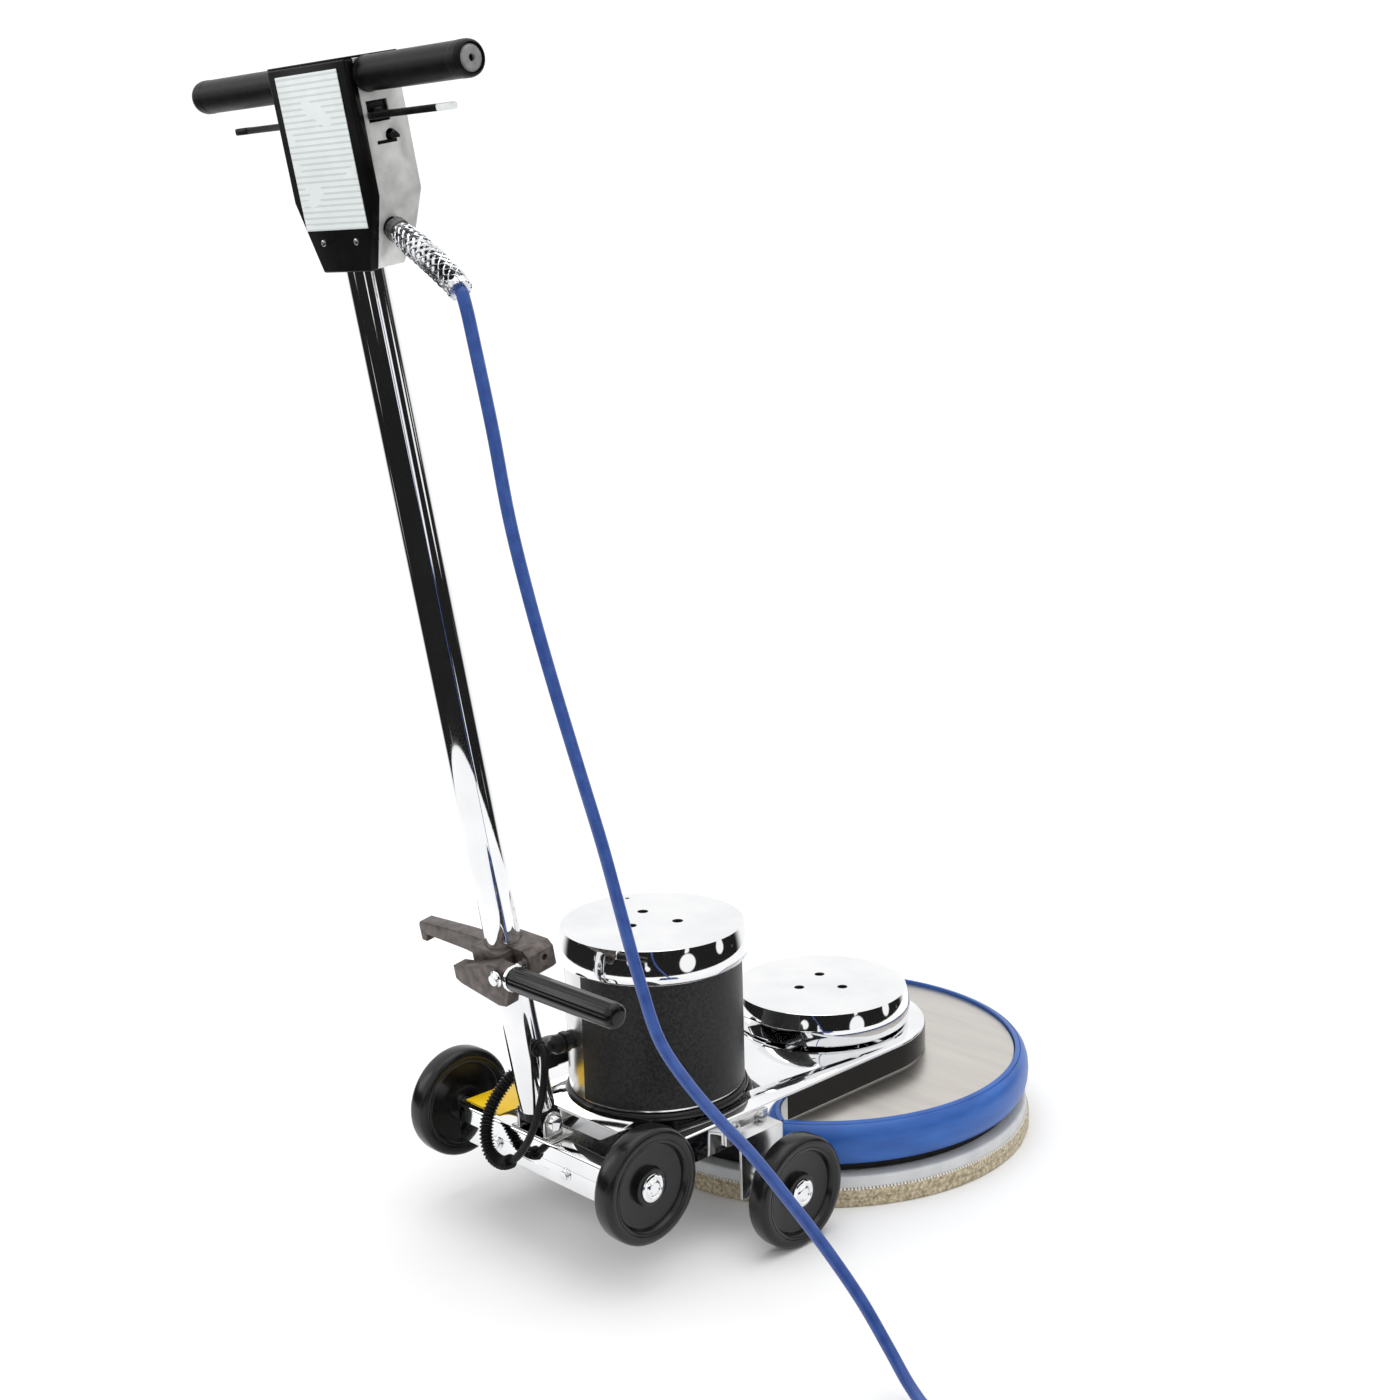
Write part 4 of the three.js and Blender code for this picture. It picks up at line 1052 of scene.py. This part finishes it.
def build_lead(mats):
    line = smooth_line(LEAD_ROUTE, 10)
    shape = tube(line, 0.0042, 14)
    jacket = add_piece("motor_lead_jacket", shape, mats["rubber"], None, "motor_lead")
    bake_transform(jacket)
    # the conduit covers the lead between these shares of its length
    share = [polyline_length(line[: k + 1]) / polyline_length(line) for k in range(1, len(line))]
    first = next(i for i, s in enumerate(share) if s > 0.47) + 1
    last = next(i for i, s in enumerate(share) if s > 0.86) + 1
    fine = smooth_line(LEAD_ROUTE, 60)
    stretch = fine[first * 6: last * 6]
    total = polyline_length(stretch)
    ridges = round(total / 0.0038)
    conduit = tube(stretch, lambda s: 0.0068 + 0.0011 * math.cos(2 * math.pi * ridges * s), 20)
    add_piece("lead_conduit", conduit, mats["plastic"], "chassis", ())
    low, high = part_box("lead_fitting")
    centre = (low + high) / 2
    body = lathe([
        [0, 0], [10.6, 0], [10.6, 10], [8.6, 12], [8.6, 20],
        [10.8, 21], [10.8, 28], [8.2, 31], [6.2, 34], [0, 34],
    ], 36, 0.6)
    nut = slab(hexagon(12), 10, 18, 0.8)
    turn = shifted(centre.x, high.y - 0.001, centre.z) @ TURN_Z_TO["-Y"]
    elbow = moved(join(body, nut), turn)
    add_piece("lead_elbow", elbow, mats["plastic"], "chassis", "lead_fitting")
    low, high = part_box("lead_grommet")
    centre = (low + high) / 2
    section = [[5.3, -1.4], [8.8, -1.4], [8.8, 0.6], [7, 1.6], [5.3, 1.6]]
    ring = lathe(section, 32, 0.4, axis="X", at=centre, closed=True)
    add_piece("tube_grommet", ring, mats["rubber"], "handle", "lead_grommet")


# ------------------------------------------------------------------ wheels and axles
def build_wheels(mats):
    for node in ("rear_wheel_left", "rear_wheel_right", "side_wheel_left", "side_wheel_right"):
        low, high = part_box(node)
        centre = (low + high) / 2
        radius = (high.z - low.z) / 2 / MM
        half = (high.x - low.x) / 2 / MM
        # hub, dished web, rim ridge, tread shoulder
        face = [
            [8.4, half - 3.2], [18.6, half - 3.2], [20, half - 3.8],
            [21.4, half - 9.4], [41, half - 8.6], [44.6, half - 7.6],
            [46.4, half - 2.6], [47.8, half - 0.9], [50.2, half - 0.5], [51, half - 1.1],
            [52, half - 0.4], [radius - 6.4, half - 0.2], [radius - 3, half - 1.2],
            [radius - 1, half - 3.4], [radius - 0.15, half - 6.6],
        ]
        back = [[r, -x] for r, x in reversed(face)]
        tyre = lathe([*face, [radius, 0], *back], 112, axis="X", at=centre, closed=True)
        add_piece(node + "_tyre", tyre, mats["tyre"], node + "_body", node, 42)


def build_axles(mats):
    for node, ends in (("rear_axle", (-1, 1)), ("side_axle_left", (-1,)), ("side_axle_right", (1,))):
        low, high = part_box(node)
        centre = (low + high) / 2
        shapes = []
        if node == "rear_axle":
            reach = high.x / MM - 3.6
            rod = [[0, -reach], [7.9, -reach], [7.9, reach], [0, reach]]
            shapes.append(lathe(rod, 32, 0.5, axis="X", at=(0, centre.y, centre.z)))
        for side in ends:
            outer = high.x if side > 0 else low.x
            head = lathe([
                [0, -3.4], [15.2, -3.4], [15.2, -2.4], [13.6, -1.5], [11.4, -1.2], [10.8, -1.9],
                [9.4, -2.1], [8.8, -1.2], [6.4, -0.1], [5.6, -0.9], [0, -1.1],
            ], 48)
            shapes.append(moved(head, shifted(outer, centre.y, centre.z) @ outward(side)))
            if node != "rear_axle":
                inner = abs(low.x if side > 0 else high.x) / MM
                stem = abs(outer) / MM
                bolt = lathe([
                    [0, inner], [13.6, inner], [13.6, inner + 12.6], [7.9, inner + 13.4],
                    [7.9, inner + 18.6], [12.6, inner + 18.8], [12.6, stem - 29], [7.9, stem - 28.4],
                    [7.9, stem - 3.2], [0, stem - 3.2],
                ], 40, 0.7)
                shapes.append(moved(bolt, shifted(0, centre.y, centre.z) @ outward(side)))
        add_piece(node + "_bolt", join(*shapes), mats["chrome"], "chassis", node)
    for side, node in ((-1, "side_bracket_left"), (1, "side_bracket_right")):
        bracket = eased_node(node, 1.1)
        low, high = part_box(node)
        bolts = []
        for dy in (-0.019, 0.019):
            at = (side * 0.1314, (low.y + high.y) / 2 + dy, 0.1185)
            bolts.append(bolt_head(5, 4.2, at, "X", side < 0))
        add_piece(node + "_plate", join(bracket, *bolts), mats["satin"], "chassis", node)


# ------------------------------------------------------------------ handle
LEVER_DEPTH = -0.034
LEVER_HEIGHT = 0.198
CROSSBAR_HEIGHT = 1.079


def on_handle(bm):
    return moved(bm, HANDLE)


def build_handle(mats):
    tube_wall = lathe([[17.1, 13.5], [19.05, 13.5], [19.05, 1060], [17.1, 1060]], 72, 0.5, closed=True)
    add_piece("handle_pipe", on_handle(tube_wall), mats["chrome"], "handle", "handle_tube")
    knuckle = eased_node("handle_foot", 1.2, over=40)
    add_piece("handle_knuckle", knuckle, mats["black_paint"], "handle", "handle_foot")
    clevis = eased_node("handle_clevis", 1.0, 2, 40)
    add_piece("clevis_plate", clevis, mats["nickel"], "chassis", "handle_clevis")
    low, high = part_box("pivot_pin")
    reach = high.x / MM
    pin = lathe([
        [0, -reach], [7.4, -reach], [9, -reach + 1.6], [9, -24.4], [5.9, -24.4],
        [5.9, 24.4], [9, 24.4], [9, reach - 1.6], [7.4, reach], [0, reach],
    ], 40, 0.4, axis="X", at=PIVOT)
    add_piece("pivot_bolt", pin, mats["chrome"], "chassis", "pivot_pin")


def build_lock_lever(mats):
    """The clamp on the tube, the lever's bolt and plate, and its bar in a fluted rubber sleeve."""
    clamp = eased_node("clamp_casting", 1.8, 3, 40)
    add_piece("clamp_body", clamp, mats["casting"], "handle", "clamp_casting")
    head = lathe([[0, 0], [8.8, 0], [8.8, 2], [7, 3.2], [6, 6.4], [0, 7]], 36, 0.4)
    shank = lathe([[0, -54], [4.9, -54], [4.9, 0], [0, 0]], 28)
    bolt = moved(join(head, shank), shifted(0.038, -0.043, LEVER_HEIGHT) @ TURN_Z_TO["-Y"])
    add_piece("lever_bolt_head", on_handle(bolt), mats["chrome"], "handle", "lever_bolt")
    plate = eased_node("lock_lever", 1.8, 3, 40)
    add_piece("lever_plate", plate, mats["casting"], "lever_body", "lock_lever")
    ring = lathe([
        [9.4, 52.6], [13, 52.6], [14.2, 53.6], [14.2, 56], [13, 57.2], [9.4, 57.2],
    ], 48, 0.5, closed=True)
    moved(ring, shifted(0, LEVER_DEPTH, LEVER_HEIGHT) @ outward(1))
    add_piece("lever_collar", on_handle(ring), mats["chrome"], "lever_body", ())
    sleeve = bmesh.new()
    rows = []
    around = 96
    flutes, flute_depth = 12, 0.25
    for x, r in (
        (58, 11.6), (59, 12.8), (61, 13.2), (205, 13.2), (209, 12.9), (212, 11.8), (213.4, 9.6), (213.9, 7),
    ):
        row = []
        for k in range(around):
            angle = 2 * math.pi * k / around
            out = (r + (flute_depth * math.cos(flutes * angle) if 58.5 < x < 211 else 0)) * MM
            row.append(sleeve.verts.new((x * MM, out * math.cos(angle), out * math.sin(angle))))
        rows.append(row)
    bridge(sleeve, rows)
    sleeve.faces.new(list(reversed(rows[0])))
    sleeve.faces.new(rows[-1])
    moved(sleeve, shifted(0, LEVER_DEPTH, LEVER_HEIGHT))
    sleeve = on_handle(sleeve)
    add_piece("lever_grip", sleeve, mats["gloss_rubber"], "lever_body", "lever_sleeve", 60)


def build_head(mats):
    case = eased_node("head_housing", 1.4, 3, 30)
    add_piece("head_case", case, mats["zinc"], "handle", "head_housing")
    front = [(-37.5, 910), (37.5, 910), (62, 975), (62, 1094), (-62, 1094), (-62, 975)]
    face = slab(front, 11.2, 21.5, 2.2, 4)
    on_handle(moved(face, TURN_Z_TO["-Y"]))
    back = add_piece("head_back", face, mats["black_paint"], "handle", "head_cover", 50)
    # room for the two grips and for the tube
    rooms = []
    for side in (-1, 1):
        room = lathe([[0, 60.4], [16.2, 60.4], [16.2, 70], [0, 70]], 48)
        rooms.append(on_handle(moved(room, shifted(0, 0, CROSSBAR_HEIGHT) @ outward(side))))
    rooms.append(on_handle(lathe([[0, 900], [19.5, 900], [19.5, 1070], [0, 1070]], 48)))
    cut(back, *rooms)
    visor = box_shape((-62, -20.5, 1093.4), (62, 36.8, 1095.5), 0.8)
    add_piece("head_visor", on_handle(visor), mats["black_paint"], "handle", ())
    plate = box_shape((-49, -22.8, 949), (49, -21.8, 1087), 0.4, 2)
    add_piece("blank_label", on_handle(plate), mats["label"], "handle", "head_label")
    screws = [on_handle(dome_screw(3.2, 1.8, (x, -0.0215, 0.9375), "-Y")) for x in (-0.027, 0.0255)]
    add_piece("cover_screws", join(*screws), mats["nickel"], "handle", ())


def build_crossbar(mats):
    """The bar, its two grips and their end plugs."""
    bar = lathe([[10.5, -207], [12.7, -207], [12.7, 207], [10.5, 207]], 48, 0.4, closed=True)
    moved(bar, shifted(0, 0, CROSSBAR_HEIGHT) @ outward(1))
    add_piece("crossbar_pipe", on_handle(bar), mats["dark_steel"], "handle", "crossbar")
    for side, name in ((-1, "left"), (1, "right")):
        grip = lathe([
            [13.2, 60.8], [15.2, 60.8], [15.8, 62.4], [15.8, 65], [15.3, 66.4], [15.5, 120], [15.5, 196],
            [15.8, 199], [15.8, 207], [15, 210.8], [13.4, 212.6], [12.5, 212.8], [12.2, 210.8], [13.2, 209],
        ], 72, 0.5, closed=True)
        plug = lathe([
            [0, 208], [3, 208], [3, 212], [3.6, 212.7], [9.2, 212.5], [11.4, 211], [11.7, 208], [0, 208],
        ], 48, 0.3)
        dark = lathe([[0, 208.6], [3.2, 208.6], [3.2, 209.4], [0, 209.4]], 24)
        for shape in (grip, plug, dark):
            on_handle(moved(shape, shifted(0, 0, CROSSBAR_HEIGHT) @ outward(side)))
        add_piece(f"grip_{name}_rubber", grip, mats["rubber"], "handle", f"grip_{name}")
        add_piece(f"end_cap_{name}", plug, mats["grey_plug"], "handle", f"end_plug_{name}")
        add_piece(f"end_hole_{name}", dark, mats["black_paint"], "handle", ())


def build_controls(mats):
    """The two trigger levers in their windows, and the lock-out button in its slot."""
    for side, name in ((-1, "left"), (1, "right")):
        body = f"trigger_{name}_body"
        outline = [(61, -8), (70, -8), (81, 0), (151, 0), (151, 8), (85, 8), (69, 15), (61, 15)]
        plate = slab(outline, 1040.2, 1046.4, 1.3)
        block = box_shape((49, -0.6, 1040.4), (62.6, 8.6, 1049.6), 1.0)
        outline = [(150.4, -0.3), (171, -0.3), (173.8, 2), (173.8, 6), (171, 8.3), (150.4, 8.3)]
        tip = slab(outline, 1040.1, 1046.6, 1.8)
        liner = box_shape((50, -4.5, 1038.5), (57.6, 16.4, 1055), 0.6, 2)
        if side < 0:
            swap = shifted(0, 0.008, 0) @ Matrix.Rotation(math.pi, 4, "Z")
            for shape in (plate, block, tip, liner):
                moved(shape, swap)
        bar = on_handle(join(block, plate))
        add_piece(f"trigger_{name}_bar", bar, mats["plastic"], body, f"trigger_{name}")
        tip_look = mats["clear" if side > 0 else "plastic"]
        add_piece(f"trigger_{name}_tip", on_handle(tip), tip_look, body, ())
        window = on_handle(liner)
        add_piece(f"trigger_{name}_window", window, mats["black_paint"], "handle", ())
    stem = box_shape((50.5, 11.2, 1022.6), (62.4, 18.2, 1026.2), 0.8)
    tab = slab([(11.4, 1021.6), (19.2, 1021.6), (19.2, 1024.2), (15, 1028.6), (11.4, 1026.4)], 62, 66.8, 0.7)
    # drawn flat as (depth, height) and raised along its width
    moved(tab, Matrix(((0, 0, 1, 0), (1, 0, 0, 0), (0, 1, 0, 0), (0, 0, 0, 1))))
    cap = on_handle(join(stem, tab))
    add_piece("button_cap", cap, mats["plastic"], "button_body", "lockout_button")
    slot = box_shape((58.2, -1.8, 1018.2), (60.5, 19.8, 1021.3), 0.6)
    add_piece("button_slot", on_handle(slot), mats["black_paint"], "handle", ())


CORD_GRIP = [(x * MM, y * MM, z * MM) for x, y, z in (
    (63.4, -402.6, 1071.6), (80, -405.2, 1064), (95.2, -406.6, 1057.3), (120.6, -408.4, 1044.5),
    (142.7, -410.3, 1031.9), (152, -411, 1025.6), (157.4, -411.4, 1021),
)]


def build_cord_grip(mats):
    """The gland and the woven wire sleeve that takes the strain off the cord."""
    line = smooth_line(CORD_GRIP, 24)
    total = polyline_length(line)
    after = [Vector((0.1592, -0.4115, 1.0196)), Vector((0.1607, -0.4103, 1.0120))]
    bush = len(line) * 5 // 6
    inner = tube([line[0] + (line[0] - line[1]).normalized() * 0.004, *line[:bush]], 0.0062, 16)
    add_piece("grip_bush", inner, mats["rubber"], "handle", ())
    cord = tube([*line[bush - 2:], *after], 0.0058, 16)
    add_piece("cord_in_grip", cord, mats["cord"], "handle", ())

    def sleeve_radius(share):
        return 0.0112 + 0.0006 * math.sin(math.pi * share) - 0.0012 * step_up((0.12 - share) / 0.12)

    frames = []
    normal = None
    along = 0.0
    for i, point in enumerate(line):
        ahead = (line[min(i + 1, len(line) - 1)] - line[max(i - 1, 0)]).normalized()
        if normal is None:
            normal = ahead.orthogonal().normalized()
        normal = (normal - ahead * normal.dot(ahead)).normalized()
        if i:
            along += (point - line[i - 1]).length
        frames.append((point, normal.copy(), ahead.cross(normal), along / total))
    wires = []
    strands = 8
    turns = 1.55
    for direction in (-1, 1):
        for k in range(strands):
            path = []
            for point, across, side, share in frames:
                angle = 2 * math.pi * k / strands + direction * share * 2 * math.pi * turns
                weave = 0.0005 * math.cos(strands * share * turns * 2 * math.pi) * direction
                r = sleeve_radius(share) - 0.0008 + weave
                path.append(point + across * r * math.cos(angle) + side * r * math.sin(angle))
            wires.append(tube(path, 0.0008, 6, flat=1.9))
    for share, width in ((0.015, 0.004), (0.97, 0.006)):
        centre_index = min(range(len(frames)), key=lambda i: abs(frames[i][3] - share))
        point, across, side, at = frames[centre_index]
        ahead = across.cross(side)
        band = [point + ahead * width * step for step in (-0.5, -0.25, 0, 0.25, 0.5)]
        wires.append(tube(band, sleeve_radius(at) + 0.0001, 32))
    add_piece("wire_sleeve", join(*wires), mats["wire"], "handle", "cord_grip", 50)

    way = Matrix.Rotation(math.radians(26), 4, "Y")
    body = lathe([
        [0, -9.6], [6.3, -9.6], [6.3, 3.2], [10.4, 3.2], [11.2, 4],
        [11.2, 10.4], [10.6, 11.2], [9.2, 11.4], [9.2, 13.8], [0, 13.8],
    ], 48, 0.4)
    ribs = [box_shape((-0.9, 10.4, 3.8), (0.9, 11.45, 10.6), 0.3, 2) for _ in range(18)]
    for i, rib in enumerate(ribs):
        moved(rib, Matrix.Rotation(2 * math.pi * i / len(ribs), 4, "Z"))
    nut = moved(join(body, *ribs), shifted(0.050, 0.003, 0.946) @ way @ outward(1))
    add_piece("gland_nut", on_handle(nut), mats["dark_steel"], "handle", "cord_gland")


# ------------------------------------------------------------------ CAD nodes that keep their shape
KEPT = {
    "drive_belt": "rubber", "motor_stator": "dark_steel", "rotor": "nickel", "cooling_fan": "plastic",
    "motor_pulley": "dark_steel", "spindle_shaft": "dark_steel", "spindle_pulley": "dark_steel",
    "pad_retainer": "plastic", "lower_bearing": "dark_steel", "upper_bearing": "dark_steel",
    "switch_body": "plastic",
}


def paint_kept_nodes(mats):
    for node, finish_name in KEPT.items():
        data = bpy.data.objects[node].data
        data.materials.clear()
        data.materials.append(mats[finish_name])


materials = make_materials()
set_up_camera()
build_cord(materials)
set_up_studio(materials)
build_deck(materials)
build_shroud(materials)
build_pad(materials)
build_caps(materials)
build_motor(materials)
build_lead(materials)
build_wheels(materials)
build_axles(materials)
build_handle(materials)
build_lock_lever(materials)
build_head(materials)
build_crossbar(materials)
build_controls(materials)
build_cord_grip(materials)
paint_kept_nodes(materials)
